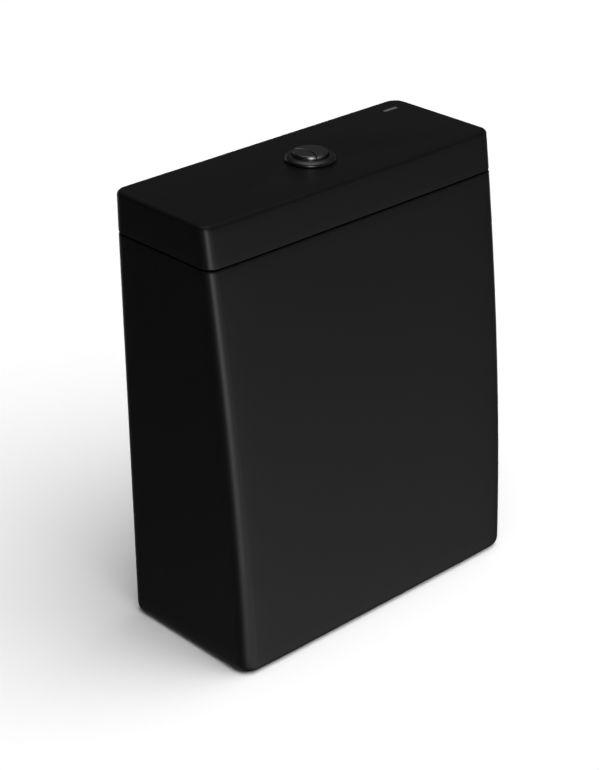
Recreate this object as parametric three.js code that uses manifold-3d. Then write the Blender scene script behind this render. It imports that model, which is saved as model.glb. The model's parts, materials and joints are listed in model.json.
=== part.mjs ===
// The cistern of a close coupled toilet: a satin black china tank and lid, a round dual flush
// button, a flush valve under it, and a bottom entry fill valve beside it.
// Millimetres, +Z up. The origin is the middle of the tank's foot, X runs along the wall and
// +Y points at the wall. The tank is drawn empty, so the floats and the seal are down.

import * as THREE from "three";
import { mergeVertices } from "three/addons/utils/BufferGeometryUtils.js";
import Module from "manifold-3d";

const wasm = await Module();
wasm.setup();

// ---------------------------------------------------------------- driving dimensions

const GAP = 0.3; // between pieces that touch

// China
const WIDTH = 350; // along the wall, at the rim and the lid
const FOOT_WIDTH = 346.5;
const HEIGHT = 429.2;
const TOP_DEPTH = 125.2; // wall to front face at the top of the lid
const FOOT_DEPTH = 164.8;
const TOP_LEAN = 0.1467; // how far the front comes forward per mm of drop, at the top
const FOOT_LEAN = 0.0254; // and at the foot
const FRONT_CORNER_TOP = 10;
const FRONT_CORNER_FOOT = 16;
const BACK_CORNER = 14;
const LEAST_CORNER = 5;
const WALL = 9;
const FOOT_EDGE = 10; // rounding of the tank's lower edge
const LID_EDGE = 5; // rounding of the lid's upper edge
const SEAM_EDGE = 1.2; // rounding beside the seam of lid and tank
const RIM_Z = 390; // top of the tank
const LID_FOOT_Z = 391.4;
const FLOOR_Z = 45; // inside
const RECESS_Z = 34; // underside of the floor, above the foot
const SKIRT = 22; // width of the foot that the tank stands on
const BACK = FOOT_DEPTH / 2; // the wall face

// Lid
const LID_PLATE = 10;
const LID_SIDE = 17;
const LIP_INSET = 11.5;
const LIP_DROP = 10;
const PAD_RADIUS = 2.2;
const PAD_INSET = 5.2; // from the tank's outer faces

// Holes in the china
const VALVE_Y = 16; // the flush valve, the button and both inlets stand on this line
const INLET_X = 120;
const OUTLET_HOLE = 26.5; // radii
const BOLT_HOLE = 7;
const BOLT_X = 75;
const INLET_HOLE = 11.5;
const BUTTON_HOLE = 19.5;
const HOSE_NOTCH = 15; // half width of the notch for the supply hose
const WALL_SCREW_HOLE = 4;
const WALL_SCREW_X = 105;
const WALL_SCREW_Z = 352; // above the water

// Dual flush button, heights above the lid's top
const BEZEL_RADIUS = 23.5;
const BUTTON_RADIUS = 15.9;
const BUTTON_BORE = 16.7;
const THREAD_RADIUS = 18.8;
const BUTTON_TOP = 8.2;
const BUTTON_UNDERSIDE = -4;
const HOUSING_FLOOR = -29;
const BUTTON_TRAVEL = 7;
const ROD_X = 8; // each push rod, from the button's axis
const ROD_RADIUS = 2.8;
const SEAM_CENTRE = -23; // the arc that parts the two buttons
const SEAM_RADIUS = 22;
const SEAM_GAP = 0.7;

// Flush valve
const TAIL_RADIUS = 24;
const TAIL_BORE = 20;
const OVERFLOW_RADIUS = 14;
const OVERFLOW_BORE = 12;
const OVERFLOW_TOP = 300;
const SEAT_Z = 58;
const CAGE_RADIUS = 34.4;
const CAGE_BORE = 32;
const CAGE_TOP = 208;
const ROCKER_Z = 328;
const PIVOT_X = 22;
const INNER_ARM = 17;
const OUTER_ARM = 18;
const ROCKER_HALF_HEIGHT = 2.2;
const HOUSING_TOP = 340;
const PLUNGER_TOP = 354.5;
const PLUNGER_HEAD = 3;
const YOKE_Z = 284;
const HOOK_TOP = 334.5;

// Fill valve
const SHANK_RADIUS = 10.3;
const RISER_RADIUS = 9.5;
const RISER_TOP = 170;
const SLEEVE_RADIUS = 12.5;
const HEAD_Z = 236;
const CAP_Z = 272;
const LEVER_Z = 292;
const LEVER_PIVOT_X = 8;
const SCREW_X = 34;
const SCREW_RADIUS = 2.5;
const FLOAT_RADIUS = 25;
const FLOAT_FOOT = 150;
const FLOAT_TOP = 205;
const SILENCER_Y = -34;

// ---------------------------------------------------------------- materials

const finish = (color, roughness, metalness = 0) =>
  new THREE.MeshStandardMaterial({ color, roughness, metalness });

const blackChina = finish(0x0c0c0d, 0.42);
const darkTrim = finish(0x26262a, 0.28, 0.6);
const whitePlastic = finish(0xe6e6e0, 0.4);
const greyPlastic = finish(0x8a8f94, 0.45);
const bluePlastic = finish(0x2a63a8, 0.4);
const blackRubber = finish(0x151515, 0.7);
const foamRubber = finish(0x2b2b2d, 0.95);
const paleSilicone = finish(0xd9d4c8, 0.55);
const steel = finish(0xb9bcc0, 0.3, 1);

// ---------------------------------------------------------------- solids

const ROUND = 28; // sides of a large round piece
const SMALL_ROUND = 16;
const TINY_ROUND = 12;

function solidOf(geometry) {
  const bare = geometry.index ? geometry.toNonIndexed() : geometry.clone();
  for (const name of Object.keys(bare.attributes)) {
    if (name !== "position") bare.deleteAttribute(name);
  }
  const merged = mergeVertices(bare, 1e-4);
  return new wasm.Manifold(
    new wasm.Mesh({
      numProp: 3,
      vertProperties: merged.attributes.position.array,
      triVerts: merged.index.array,
    }),
  );
}

function geometryOf(solid) {
  const mesh = solid.getMesh();
  const positions = new THREE.BufferAttribute(mesh.vertProperties, 3);
  return new THREE.BufferGeometry()
    .setAttribute("position", positions)
    .setIndex(new THREE.BufferAttribute(mesh.triVerts, 1));
}

const combine = (verb, first, others) =>
  geometryOf(others.reduce((whole, tool) => whole[verb](solidOf(tool)), solidOf(first)));
const cut = (first, ...tools) => combine("subtract", first, tools);
const join = (first, ...others) => combine("add", first, others);
const overlapOf = (first, second) => combine("intersect", first, [second]);

// A box between two corners.
function block(x0, x1, y0, y1, z0, z1) {
  const box = new THREE.BoxGeometry(x1 - x0, y1 - y0, z1 - z0);
  return box.translate((x0 + x1) / 2, (y0 + y1) / 2, (z0 + z1) / 2);
}

// An upright cylinder.
function post(radius, z0, z1, x = 0, y = 0, sides = SMALL_ROUND) {
  const cylinder = new THREE.CylinderGeometry(radius, radius, z1 - z0, sides);
  return cylinder.rotateX(Math.PI / 2).translate(x, y, (z0 + z1) / 2);
}

// A cylinder lying along Y.
function pinAlongY(radius, y0, y1, x = 0, z = 0, sides = TINY_ROUND) {
  const cylinder = new THREE.CylinderGeometry(radius, radius, y1 - y0, sides);
  return cylinder.translate(x, (y0 + y1) / 2, z);
}

// Revolves a profile of [radius, z] points about Z. It starts and ends on the axis, or is a
// closed loop, and runs anticlockwise when the radius points right and z points up.
function turned(profile, sides = ROUND) {
  const points = profile.map(([radius, z]) => new THREE.Vector2(radius, z));
  if (profile[0][0] > 0) points.push(points[0].clone());
  return new THREE.LatheGeometry(points, sides).rotateX(Math.PI / 2);
}

// A tube or washer.
const ring = (inner, outer, z0, z1, sides = ROUND) =>
  turned([[inner, z0], [outer, z0], [outer, z1], [inner, z1]], sides);

// Closes a stack of outlines, lowest first, with a fan at each end.
function loft(outlines) {
  const count = outlines[0].length;
  const middle = (outline) =>
    outline.reduce((sum, p) => sum.add(p), new THREE.Vector3()).divideScalar(count);
  const points = [...outlines.flat(), middle(outlines[0]), middle(outlines.at(-1))];
  const lowCentre = points.length - 2;
  const highCentre = points.length - 1;
  const lastRow = (outlines.length - 1) * count;
  const index = [];
  for (let i = 0; i < count; i++) {
    const next = (i + 1) % count;
    for (let row = 0; row < lastRow; row += count) {
      index.push(row + i, row + next, row + count + next);
      index.push(row + i, row + count + next, row + count + i);
    }
    index.push(lowCentre, next, i, highCentre, lastRow + i, lastRow + next);
  }
  return new THREE.BufferGeometry().setFromPoints(points).setIndex(index);
}

// ---------------------------------------------------------------- the china's outline

// Wall to front face at height z: a cubic between the top and the foot.
function frontDepth(z) {
  const t = 1 - z / HEIGHT;
  const foot = t * t * (3 - 2 * t);
  const fromTop = TOP_DEPTH * (1 - foot) + TOP_LEAN * HEIGHT * t * (1 - t) ** 2;
  const fromFoot = FOOT_DEPTH * foot - FOOT_LEAN * HEIGHT * t * t * (1 - t);
  return fromTop + fromFoot;
}

function halfWidth(z) {
  const above = Math.min(z / RIM_Z, 1);
  return (FOOT_WIDTH + (WIDTH - FOOT_WIDTH) * above) / 2;
}

const CORNER_STEPS = 4;

// The outline at height z, pulled in by an inset: four corner arcs, anticlockwise from above.
function outline(z, inset) {
  const right = halfWidth(z) - inset;
  const back = BACK - inset;
  const front = BACK - frontDepth(z) + inset;
  const share = z / HEIGHT;
  const frontCorner = FRONT_CORNER_FOOT + (FRONT_CORNER_TOP - FRONT_CORNER_FOOT) * share;
  const backRadius = Math.max(BACK_CORNER - inset, LEAST_CORNER);
  const frontRadius = Math.max(frontCorner - inset, LEAST_CORNER);
  const corners = [
    [right - backRadius, back - backRadius, backRadius],
    [backRadius - right, back - backRadius, backRadius],
    [frontRadius - right, front + frontRadius, frontRadius],
    [right - frontRadius, front + frontRadius, frontRadius],
  ];
  return corners.flatMap(([x, y, radius], quarter) =>
    Array.from({ length: CORNER_STEPS + 1 }, (_, step) => {
      const angle = ((quarter + step / CORNER_STEPS) * Math.PI) / 2;
      return new THREE.Vector3(x + radius * Math.cos(angle), y + radius * Math.sin(angle), z);
    }),
  );
}

// A body between two heights, with its lower and upper edges rounded inwards or left sharp.
function chinaBody(z0, z1, inset, { lower = 0, upper = 0, levels = 8 } = {}) {
  const EDGE_STEPS = 3;
  const rows = [];
  for (let step = 0; lower && step < EDGE_STEPS; step++) {
    const angle = ((step / EDGE_STEPS) * Math.PI) / 2;
    rows.push([z0 + lower * (1 - Math.cos(angle)), lower * (1 - Math.sin(angle))]);
  }
  const first = z0 + lower;
  const last = z1 - upper;
  for (let level = 0; level <= levels; level++) {
    rows.push([first + ((last - first) * level) / levels, 0]);
  }
  for (let step = 1; upper && step <= EDGE_STEPS; step++) {
    const angle = ((step / EDGE_STEPS) * Math.PI) / 2;
    rows.push([last + upper * Math.sin(angle), upper * (1 - Math.cos(angle))]);
  }
  return loft(rows.map(([z, pull]) => outline(z, inset + pull)));
}

// ---------------------------------------------------------------- tank and lid

function cisternTank() {
  const FLOOR_EDGE = 12; // rounding inside
  const RECESS_EDGE = 4;
  const outside = chinaBody(0, RIM_Z, 0, { lower: FOOT_EDGE, upper: SEAM_EDGE, levels: 9 });
  const inside = chinaBody(FLOOR_Z, RIM_Z + 1, WALL, { lower: FLOOR_EDGE, levels: 6 });
  const recess = chinaBody(-1, RECESS_Z, SKIRT, { upper: RECESS_EDGE, levels: 1 });
  const through = (radius, x) => post(radius, RECESS_Z - 1, FLOOR_Z + 1, x, VALVE_Y);
  const wallHole = (x) =>
    pinAlongY(WALL_SCREW_HOLE, BACK - WALL - 1, BACK + 1, x, WALL_SCREW_Z);
  const NOTCH_TOP = 22;
  const notch = (x) =>
    join(
      block(x - HOSE_NOTCH, x + HOSE_NOTCH, BACK - SKIRT - 1, BACK + 1, -1, NOTCH_TOP - HOSE_NOTCH),
      pinAlongY(HOSE_NOTCH, BACK - SKIRT - 1, BACK + 1, x, NOTCH_TOP - HOSE_NOTCH, SMALL_ROUND),
    );
  return cut(
    outside,
    inside,
    recess,
    through(OUTLET_HOLE, 0),
    ...[-1, 1].flatMap((side) => [
      through(BOLT_HOLE, side * BOLT_X),
      through(INLET_HOLE, side * INLET_X),
      wallHole(side * WALL_SCREW_X),
      notch(side * INLET_X),
    ]),
  );
}

function cisternLid() {
  const POCKET_EDGE = 8;
  const lipFoot = LID_FOOT_Z - LIP_DROP;
  const pocketTop = HEIGHT - LID_PLATE;
  const shell = chinaBody(LID_FOOT_Z, HEIGHT, 0, { lower: SEAM_EDGE, upper: LID_EDGE, levels: 3 });
  const lip = chinaBody(lipFoot, LID_FOOT_Z + 4, LIP_INSET, { levels: 1 });
  const pocket = chinaBody(lipFoot - 1, pocketTop, LID_SIDE, { upper: POCKET_EDGE, levels: 2 });
  const hole = post(BUTTON_HOLE, pocketTop - 1, HEIGHT + 1, 0, VALVE_Y, ROUND);
  return cut(join(shell, lip), pocket, hole);
}

function addChina(cistern) {
  add(cistern, "cistern_tank", cisternTank(), blackChina);
  add(cistern, "cistern_lid", cisternLid(), blackChina);
  const PAD_X = 140;
  const frontRim = BACK - frontDepth(RIM_Z) + PAD_INSET;
  const backRim = BACK - PAD_INSET;
  const pads = {
    lid_pad_front_left: [-PAD_X, frontRim],
    lid_pad_front_right: [PAD_X, frontRim],
    lid_pad_back_left: [-PAD_X, backRim],
    lid_pad_back_right: [PAD_X, backRim],
  };
  const pad = post(PAD_RADIUS, RIM_Z + GAP, LID_FOOT_Z - GAP, 0, 0, TINY_ROUND);
  for (const [name, [x, y]] of Object.entries(pads)) {
    add(cistern, name, pad, blackRubber, [x, y, 0]);
  }
}

// ---------------------------------------------------------------- dual flush button

// The trim ring that shows round the buttons. It snaps over the housing's flange.
function buttonBezel() {
  return turned([
    [BUTTON_BORE, 2],
    [21.9, 2],
    [21.9, 0.4],
    [BEZEL_RADIUS, 0.4],
    [BEZEL_RADIUS, 1.8],
    [22.7, 3.2],
    [20.8, 4.6],
    [18.6, 5.2],
    [17.3, 5],
    [BUTTON_BORE, 4.4],
  ]);
}

// A threaded cup through the lid, with two guides for the push rods in its floor.
function buttonHousing() {
  const underside = HOUSING_FLOOR - 3;
  const cup = turned([
    [0, underside],
    [THREAD_RADIUS, underside],
    [THREAD_RADIUS, GAP],
    [21.5, GAP],
    [21.5, 1.7],
    [BUTTON_BORE, 1.7],
    [BUTTON_BORE, HOUSING_FLOOR],
    [0, HOUSING_FLOOR],
  ]);
  const guides = [-ROD_X, ROD_X].map((x) =>
    post(ROD_RADIUS + 0.6, underside - 1, HOUSING_FLOOR + 1, x),
  );
  const drains = [-11, 11].map((y) => block(-3, 3, y - 2, y + 2, underside - 1, HOUSING_FLOOR + 1));
  return cut(cup, ...guides, ...drains);
}

function ribbedNut(bore, radius, z0, z1, ribs, ribHeight) {
  const body = ring(bore, radius, z0, z1);
  const RIB_HALF = 2.2;
  const rib = block(radius - 2, radius + ribHeight, -RIB_HALF, RIB_HALF, z0, z1 - 1);
  const turns = Array.from({ length: ribs }, (_, i) =>
    rib.clone().rotateZ((2 * Math.PI * i) / ribs),
  );
  return join(body, ...turns);
}

// One of the two buttons: its share of the disc, with a socket for its push rod underneath.
function flushButton(side) {
  const disc = post(BUTTON_RADIUS, BUTTON_UNDERSIDE, BUTTON_TOP, 0, 0, ROUND);
  const seam = (radius) =>
    post(radius, BUTTON_UNDERSIDE - 1, BUTTON_TOP + 1, SEAM_CENTRE, 0, 2 * ROUND);
  const cap =
    side < 0
      ? overlapOf(disc, seam(SEAM_RADIUS - SEAM_GAP / 2))
      : cut(disc, seam(SEAM_RADIUS + SEAM_GAP / 2));
  const SOCKET_FOOT = -16;
  const socket = post(4.5, SOCKET_FOOT, BUTTON_UNDERSIDE + 1, side * ROD_X);
  const bore = post(ROD_RADIUS + GAP, SOCKET_FOOT - 1, BUTTON_UNDERSIDE - 1.5, side * ROD_X);
  return cut(join(cap, socket), bore);
}

function addButton(cistern) {
  const unit = new THREE.Group();
  unit.position.set(0, VALVE_Y, HEIGHT);
  cistern.add(unit);
  add(unit, "button_bezel", buttonBezel(), darkTrim);
  add(unit, "button_housing", buttonHousing(), greyPlastic);
  const gasketTop = -LID_PLATE - GAP;
  const gasketFoot = gasketTop - 2;
  const bore = THREAD_RADIUS + GAP;
  add(unit, "button_gasket", ring(bore, 26, gasketFoot, gasketTop), foamRubber);
  const nut = ribbedNut(bore, 25, gasketFoot - 8, gasketFoot - GAP, 8, 3);
  add(unit, "button_nut", nut, greyPlastic);

  const springFoot = HOUSING_FLOOR + GAP;
  const springTop = BUTTON_UNDERSIDE - GAP;
  const spring = ring(5.5, 6.5, springFoot, springTop, SMALL_ROUND);
  const rodFoot = PLUNGER_TOP + GAP - HEIGHT;
  const rod = post(ROD_RADIUS, rodFoot, BUTTON_UNDERSIDE - 2, 0, 0, TINY_ROUND);
  for (const [name, side] of [["half", -1], ["full", 1]]) {
    const at = [side * ROD_X, 0, 0];
    add(unit, `${name}_button_spring`, spring, steel, at);
    add(unit, `${name}_flush_rod`, rod, whitePlastic, at);
    add(unit, `${name}_flush_button`, flushButton(side), darkTrim);
  }
}

// ---------------------------------------------------------------- flush valve

// The outlet: a threaded tail through the floor, a flange inside, and the lip that the seal
// sits on.
function outletBase() {
  const flangeFoot = FLOOR_Z + 3 + 2 * GAP;
  return turned([
    [TAIL_BORE, 6],
    [TAIL_RADIUS, 6],
    [TAIL_RADIUS, flangeFoot],
    [38, flangeFoot],
    [38, 53],
    [26, 53],
    [24.5, SEAT_Z],
    [TAIL_BORE, SEAT_Z],
  ]);
}

// Soft ring between cistern and pan. Its step takes the back nut.
function doughnutWasher() {
  const NUT_STEP = 20.2;
  return turned([
    [24.7, 1],
    [37, 1],
    [43, 8],
    [43, 30],
    [37.3, 30],
    [37.3, NUT_STEP],
    [24.7, NUT_STEP],
  ]);
}

// The cage: open at the foot for the water, a float chamber above, and a rail on its left for
// the half flush float.
function valveCage() {
  const foot = 53 + GAP;
  const shell = turned([
    [CAGE_BORE, foot],
    [36.5, foot],
    [36.5, SEAT_Z],
    [CAGE_RADIUS, SEAT_Z + 2],
    [CAGE_RADIUS, CAGE_TOP],
    [OVERFLOW_RADIUS + 1.2, CAGE_TOP],
    [OVERFLOW_RADIUS + 1.2, CAGE_TOP - 3],
    [CAGE_BORE, CAGE_TOP - 3],
  ]);
  const WINDOWS = 6;
  const windows = Array.from({ length: WINDOWS }, (_, i) =>
    block(CAGE_BORE - 6, CAGE_RADIUS + 3, -10, 10, 61, 97).rotateZ(
      (2 * Math.PI * (i + 0.5)) / WINDOWS,
    ),
  );
  const rail = block(-CAGE_RADIUS - 6.6, -CAGE_RADIUS + 1.4, -3, 3, 108, 163);
  return cut(join(shell, rail), ...windows);
}

const RAIL_INNER_Y = 17; // the mast's two rails, from the valve's axis
const RAIL_OUTER_Y = 22;
const RAIL_HALF = 7;
const HEIGHT_PIN_Z = 326;

// Stands on the cage and carries the rocker housing on two rails with a row of height holes.
function valveMast() {
  const foot = CAGE_TOP + GAP;
  const plateTop = foot + 4.4;
  const plate = ring(OVERFLOW_RADIUS + 1.2, 40, foot, plateTop);
  const railTop = HOUSING_TOP - 4;
  const rails = [-1, 1].map((side) => {
    const y = [side * RAIL_INNER_Y, side * RAIL_OUTER_Y].sort((a, b) => a - b);
    return block(-RAIL_HALF, RAIL_HALF, ...y, foot, railTop);
  });
  const linkGuide = block(-48, -36, -7, 7, foot, plateTop);
  const linkSlot = block(-44.6, -39.9, -3.6, 3.6, foot - 1, plateTop + 1);
  const HEIGHT_STEPS = 4;
  const pinHoles = Array.from({ length: HEIGHT_STEPS }, (_, step) =>
    pinAlongY(2.3, -RAIL_OUTER_Y - 1, RAIL_OUTER_Y + 1, 0, HEIGHT_PIN_Z - 12 * step),
  );
  return cut(join(plate, linkGuide, ...rails), linkSlot, ...pinHoles);
}

const HOUSING_HALF_LENGTH = 30;
const HOUSING_INNER_Y = 14.2;
const HOUSING_OUTER_Y = RAIL_INNER_Y - GAP;
const PIVOT_RADIUS = 2.1;

// An inverted channel that holds the two rockers on their pins and guides the plungers.
function rockerHousing() {
  const TOP_PLATE = 3;
  const half = HOUSING_HALF_LENGTH;
  const body = block(-half, half, -HOUSING_OUTER_Y, HOUSING_OUTER_Y, 318, HOUSING_TOP);
  const plateFoot = HOUSING_TOP - TOP_PLATE;
  const hollow = block(-half - 1, half + 1, -HOUSING_INNER_Y, HOUSING_INNER_Y, 317, plateFoot);
  const collars = [-ROD_X, ROD_X].map((x) => post(6.8, HOUSING_TOP - 1, HOUSING_TOP + 4, x));
  const bores = [-ROD_X, ROD_X].map((x) => post(4.9, plateFoot - 1, HOUSING_TOP + 5, x));
  const y = HOUSING_OUTER_Y + 1;
  const pivots = [-PIVOT_X, PIVOT_X].map((x) => pinAlongY(PIVOT_RADIUS + GAP, -y, y, x, ROCKER_Z));
  const heightHole = pinAlongY(2.3, -y, y, 0, HEIGHT_PIN_Z);
  return cut(join(body, ...collars), hollow, ...bores, ...pivots, heightHole);
}

// A lever on a hub. Its inner end lies under a plunger and its outer end lifts a hook.
function rocker(side) {
  const HUB = 5;
  const HALF_THICK = 4;
  const flank = Math.asin(ROCKER_HALF_HEIGHT / HUB);
  const shape = new THREE.Shape();
  shape.moveTo(-INNER_ARM, -ROCKER_HALF_HEIGHT);
  shape.absarc(0, 0, HUB, Math.PI + flank, -flank, false);
  shape.lineTo(OUTER_ARM, -ROCKER_HALF_HEIGHT);
  shape.lineTo(OUTER_ARM, ROCKER_HALF_HEIGHT);
  shape.absarc(0, 0, HUB, flank, Math.PI - flank, false);
  shape.lineTo(-INNER_ARM, ROCKER_HALF_HEIGHT);
  const hole = new THREE.Path().absarc(0, 0, PIVOT_RADIUS + GAP, 0, 2 * Math.PI, true);
  shape.holes.push(hole);
  const options = { depth: 2 * HALF_THICK, bevelEnabled: false, curveSegments: 6 };
  const lever = new THREE.ExtrudeGeometry(shape, options);
  lever.rotateX(Math.PI / 2).translate(0, HALF_THICK, 0);
  return side < 0 ? lever.rotateZ(Math.PI) : lever;
}

function plunger() {
  const headFoot = PLUNGER_TOP - PLUNGER_HEAD;
  const nose = ROCKER_Z + ROCKER_HALF_HEIGHT + 0.4;
  return turned(
    [[0, nose], [1.6, nose], [4.5, nose + 4], [4.5, headFoot], [6.5, headFoot],
      [6.5, PLUNGER_TOP], [0, PLUNGER_TOP]],
    SMALL_ROUND,
  );
}

// The bell on top of the overflow tube keeps the yoke's collar on.
function overflowTube() {
  const outer = OVERFLOW_RADIUS;
  return turned([
    [OVERFLOW_BORE, 52],
    [outer, 52],
    [outer, OVERFLOW_TOP - 3],
    [outer + 1.4, OVERFLOW_TOP],
    [OVERFLOW_BORE + 1, OVERFLOW_TOP],
    [OVERFLOW_BORE, OVERFLOW_TOP - 3],
  ]);
}

const SPINDLE_BORE = OVERFLOW_RADIUS + GAP;

function sealCarrier() {
  const foot = SEAT_Z + 3 + GAP;
  return turned([
    [SPINDLE_BORE, foot],
    [24.5, foot],
    [24.5, foot + 2.4],
    [18, foot + 5],
    [17, foot + 13],
    [SPINDLE_BORE, foot + 13],
  ]);
}

// An inverted cup that traps air, for a float that rides on a tube.
function floatCup(bore, radius, z0, z1, wall) {
  return turned([
    [bore, z0],
    [bore + wall, z0],
    [bore + wall, z1 - wall - 1],
    [radius - wall, z1 - wall - 1],
    [radius - wall, z0],
    [radius, z0],
    [radius, z1],
    [bore, z1],
  ]);
}

const HOOK_INNER_X = PIVOT_X + OUTER_ARM - 3.5;
const HOOK_OUTER_X = PIVOT_X + OUTER_ARM + 4;
const HOOK_UNDERSIDE = ROCKER_Z + ROCKER_HALF_HEIGHT + 0.4;
const UPRIGHT = 3.5; // thickness

// Clamped on the overflow tube. Its hook reaches over the full flush rocker.
function liftYoke() {
  const collar = ring(SPINDLE_BORE, 16.5, YOKE_Z, YOKE_Z + 12);
  const arm = block(15.4, HOOK_OUTER_X, -4, 4, YOKE_Z, YOKE_Z + 5);
  const inner = HOOK_OUTER_X - UPRIGHT;
  const upright = block(inner, HOOK_OUTER_X, -4, 4, YOKE_Z, HOOK_TOP);
  const hook = block(HOOK_INNER_X, HOOK_OUTER_X, -4, 4, HOOK_UNDERSIDE, HOOK_TOP);
  return join(collar, arm, upright, hook);
}

const SIDE_FLOAT_TOP = 165.7;

function halfFlushFloat() {
  const inner = -CAGE_RADIUS - 2.6;
  const body = block(inner - 25, inner, -14, 14, 118, SIDE_FLOAT_TOP);
  const groove = block(-CAGE_RADIUS - 7.2, inner + 1, -3.6, 3.6, 117, SIDE_FLOAT_TOP + 1);
  const air = block(inner - 23, inner - 6.6, -12, 12, 117, SIDE_FLOAT_TOP - 3);
  return cut(body, groove, air);
}

// Hangs the half flush float from the half flush rocker.
function halfFlushLink() {
  const inner = UPRIGHT - HOOK_OUTER_X;
  const foot = SIDE_FLOAT_TOP + GAP;
  const bar = block(-HOOK_OUTER_X, inner, -3, 3, foot, HOOK_TOP);
  const hook = block(-HOOK_OUTER_X, -HOOK_INNER_X, -3, 3, HOOK_UNDERSIDE, HOOK_TOP);
  const plate = block(-58, inner, -8, 8, foot, foot + 3);
  return join(bar, hook, plate);
}

function addFlushValve(cistern) {
  const valve = new THREE.Group();
  valve.position.set(0, VALVE_Y, 0);
  cistern.add(valve);
  add(valve, "outlet_base", outletBase(), whitePlastic);
  const gasket = ring(TAIL_RADIUS + 0.6, 36.5, FLOOR_Z + GAP, FLOOR_Z + 3 + GAP);
  add(valve, "outlet_gasket", gasket, blackRubber);
  const nut = ribbedNut(TAIL_RADIUS + GAP, 33, 20.5, RECESS_Z - GAP, 8, 3);
  add(valve, "outlet_back_nut", nut, greyPlastic);
  add(valve, "doughnut_washer", doughnutWasher(), foamRubber);
  add(valve, "valve_cage", valveCage(), whitePlastic);
  add(valve, "valve_mast", valveMast(), whitePlastic);
  add(valve, "rocker_housing", rockerHousing(), greyPlastic);

  const pinEnd = HOUSING_OUTER_Y + 0.8;
  const rockerPin = join(
    pinAlongY(PIVOT_RADIUS, -pinEnd, pinEnd),
    pinAlongY(3.4, pinEnd - GAP, pinEnd + 1.4),
  );
  const heightPin = join(
    pinAlongY(2, HOUSING_INNER_Y - 1, RAIL_OUTER_Y + 1),
    pinAlongY(4, RAIL_OUTER_Y + GAP, RAIL_OUTER_Y + 2.4),
  );
  const heightPins = { height_pin_back: 0, height_pin_front: Math.PI };
  for (const [name, turn] of Object.entries(heightPins)) {
    add(valve, name, heightPin, bluePlastic, [0, 0, HEIGHT_PIN_Z], turn);
  }
  for (const [name, side] of [["half", -1], ["full", 1]]) {
    const pivot = [side * PIVOT_X, 0, ROCKER_Z];
    add(valve, `${name}_rocker_pin`, rockerPin, steel, pivot);
    add(valve, `${name}_rocker`, rocker(side), bluePlastic, pivot);
    add(valve, `${name}_plunger`, plunger(), whitePlastic, [side * ROD_X, 0, 0]);
  }

  add(valve, "overflow_tube", overflowTube(), whitePlastic);
  const seal = ring(SPINDLE_BORE, 26, SEAT_Z + GAP, SEAT_Z + 3);
  add(valve, "valve_seal", seal, paleSilicone);
  add(valve, "seal_carrier", sealCarrier(), greyPlastic);
  add(valve, "full_flush_float", floatCup(SPINDLE_BORE, 30, 150, 190, 2), bluePlastic);
  add(valve, "lift_yoke", liftYoke(), greyPlastic);
  add(valve, "half_flush_float", halfFlushFloat(), bluePlastic);
  add(valve, "half_flush_link", halfFlushLink(), greyPlastic);
}

// ---------------------------------------------------------------- fill valve

// Threaded shank, flange and riser in one piece, with the water way through it.
function inletStem() {
  const flangeFoot = FLOOR_Z + 3 + 2 * GAP;
  return turned(
    [[6.5, 4], [SHANK_RADIUS, 4], [SHANK_RADIUS, flangeFoot], [17, flangeFoot], [17, 52],
      [RISER_RADIUS, 54], [RISER_RADIUS, RISER_TOP], [7, RISER_TOP], [7, 54], [6.5, 50]],
    24,
  );
}

function hexNut() {
  const ACROSS_FLATS = 30;
  const body = post(ACROSS_FLATS / Math.sqrt(3), 22, 31.5, 0, 0, 6);
  const collar = post(18.2, 31, RECESS_Z - GAP);
  return cut(join(body, collar), post(SHANK_RADIUS + GAP, 21, RECESS_Z));
}

// A strainer cup that pushes into the shank's mouth.
function inletFilter() {
  return turned(
    [[0, 22.8], [4.7, 22.8], [4.7, 5], [6.1, 5], [6.1, 8], [5.7, 8], [5.7, 24], [0, 24]],
    16,
  );
}

function fillValveHead() {
  const WATER_WAY = 6;
  const body = turned(
    [[0, 262], [WATER_WAY, 262], [WATER_WAY, HEAD_Z + GAP], [14, HEAD_Z + GAP], [22, 244],
      [22, CAP_Z], [0, CAP_Z]],
    24,
  );
  const spout = block(-7, 7, SILENCER_Y - 7, -15, 246, 258);
  const nozzle = post(5, 234, 247, 0, SILENCER_Y, 16);
  const nozzleBore = post(3.6, 233, 252, 0, SILENCER_Y, TINY_ROUND);
  return cut(join(body, spout, nozzle), nozzleBore);
}

const EAR_INNER_Y = 5.2;

// Screw cap with the pilot nozzle in its middle and two ears for the lever's pin.
function fillValveCap() {
  const foot = CAP_Z + GAP;
  const CAP_TOP = 283;
  const NOZZLE_TOP = 284.5;
  const disc = turned(
    [[0, foot], [23.5, foot], [23.5, CAP_TOP - 1.5], [22, CAP_TOP], [3, CAP_TOP],
      [2.4, NOZZLE_TOP], [0, NOZZLE_TOP]],
    24,
  );
  const ears = [-1, 1].map((side) => {
    const y = [side * EAR_INNER_Y, side * (EAR_INNER_Y + 3)].sort((a, b) => a - b);
    return block(LEVER_PIVOT_X - 4.5, LEVER_PIVOT_X + 4.5, ...y, CAP_TOP - 1, LEVER_Z + 4.5);
  });
  return cut(join(disc, ...ears), pinAlongY(1.9, -12, 12, LEVER_PIVOT_X, LEVER_Z));
}

// Pivots on the cap. The float lifts its forked end, and its pad closes the pilot nozzle.
function floatLever() {
  const half = 2.3;
  const bar = block(-12, 19, -EAR_INNER_Y + 0.5, EAR_INNER_Y - 0.5, -half, half);
  const pad = block(-11, -5, -3, 3, -half, -half + 0.6).translate(0, 0, -0.3);
  const fork = block(18, 32, -8, 8, -1.25, 1.25);
  const slot = block(22, 33, -3, 3, -2, 2);
  return cut(join(bar, pad, fork), slot, pinAlongY(1.9, -12, 12));
}

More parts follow.
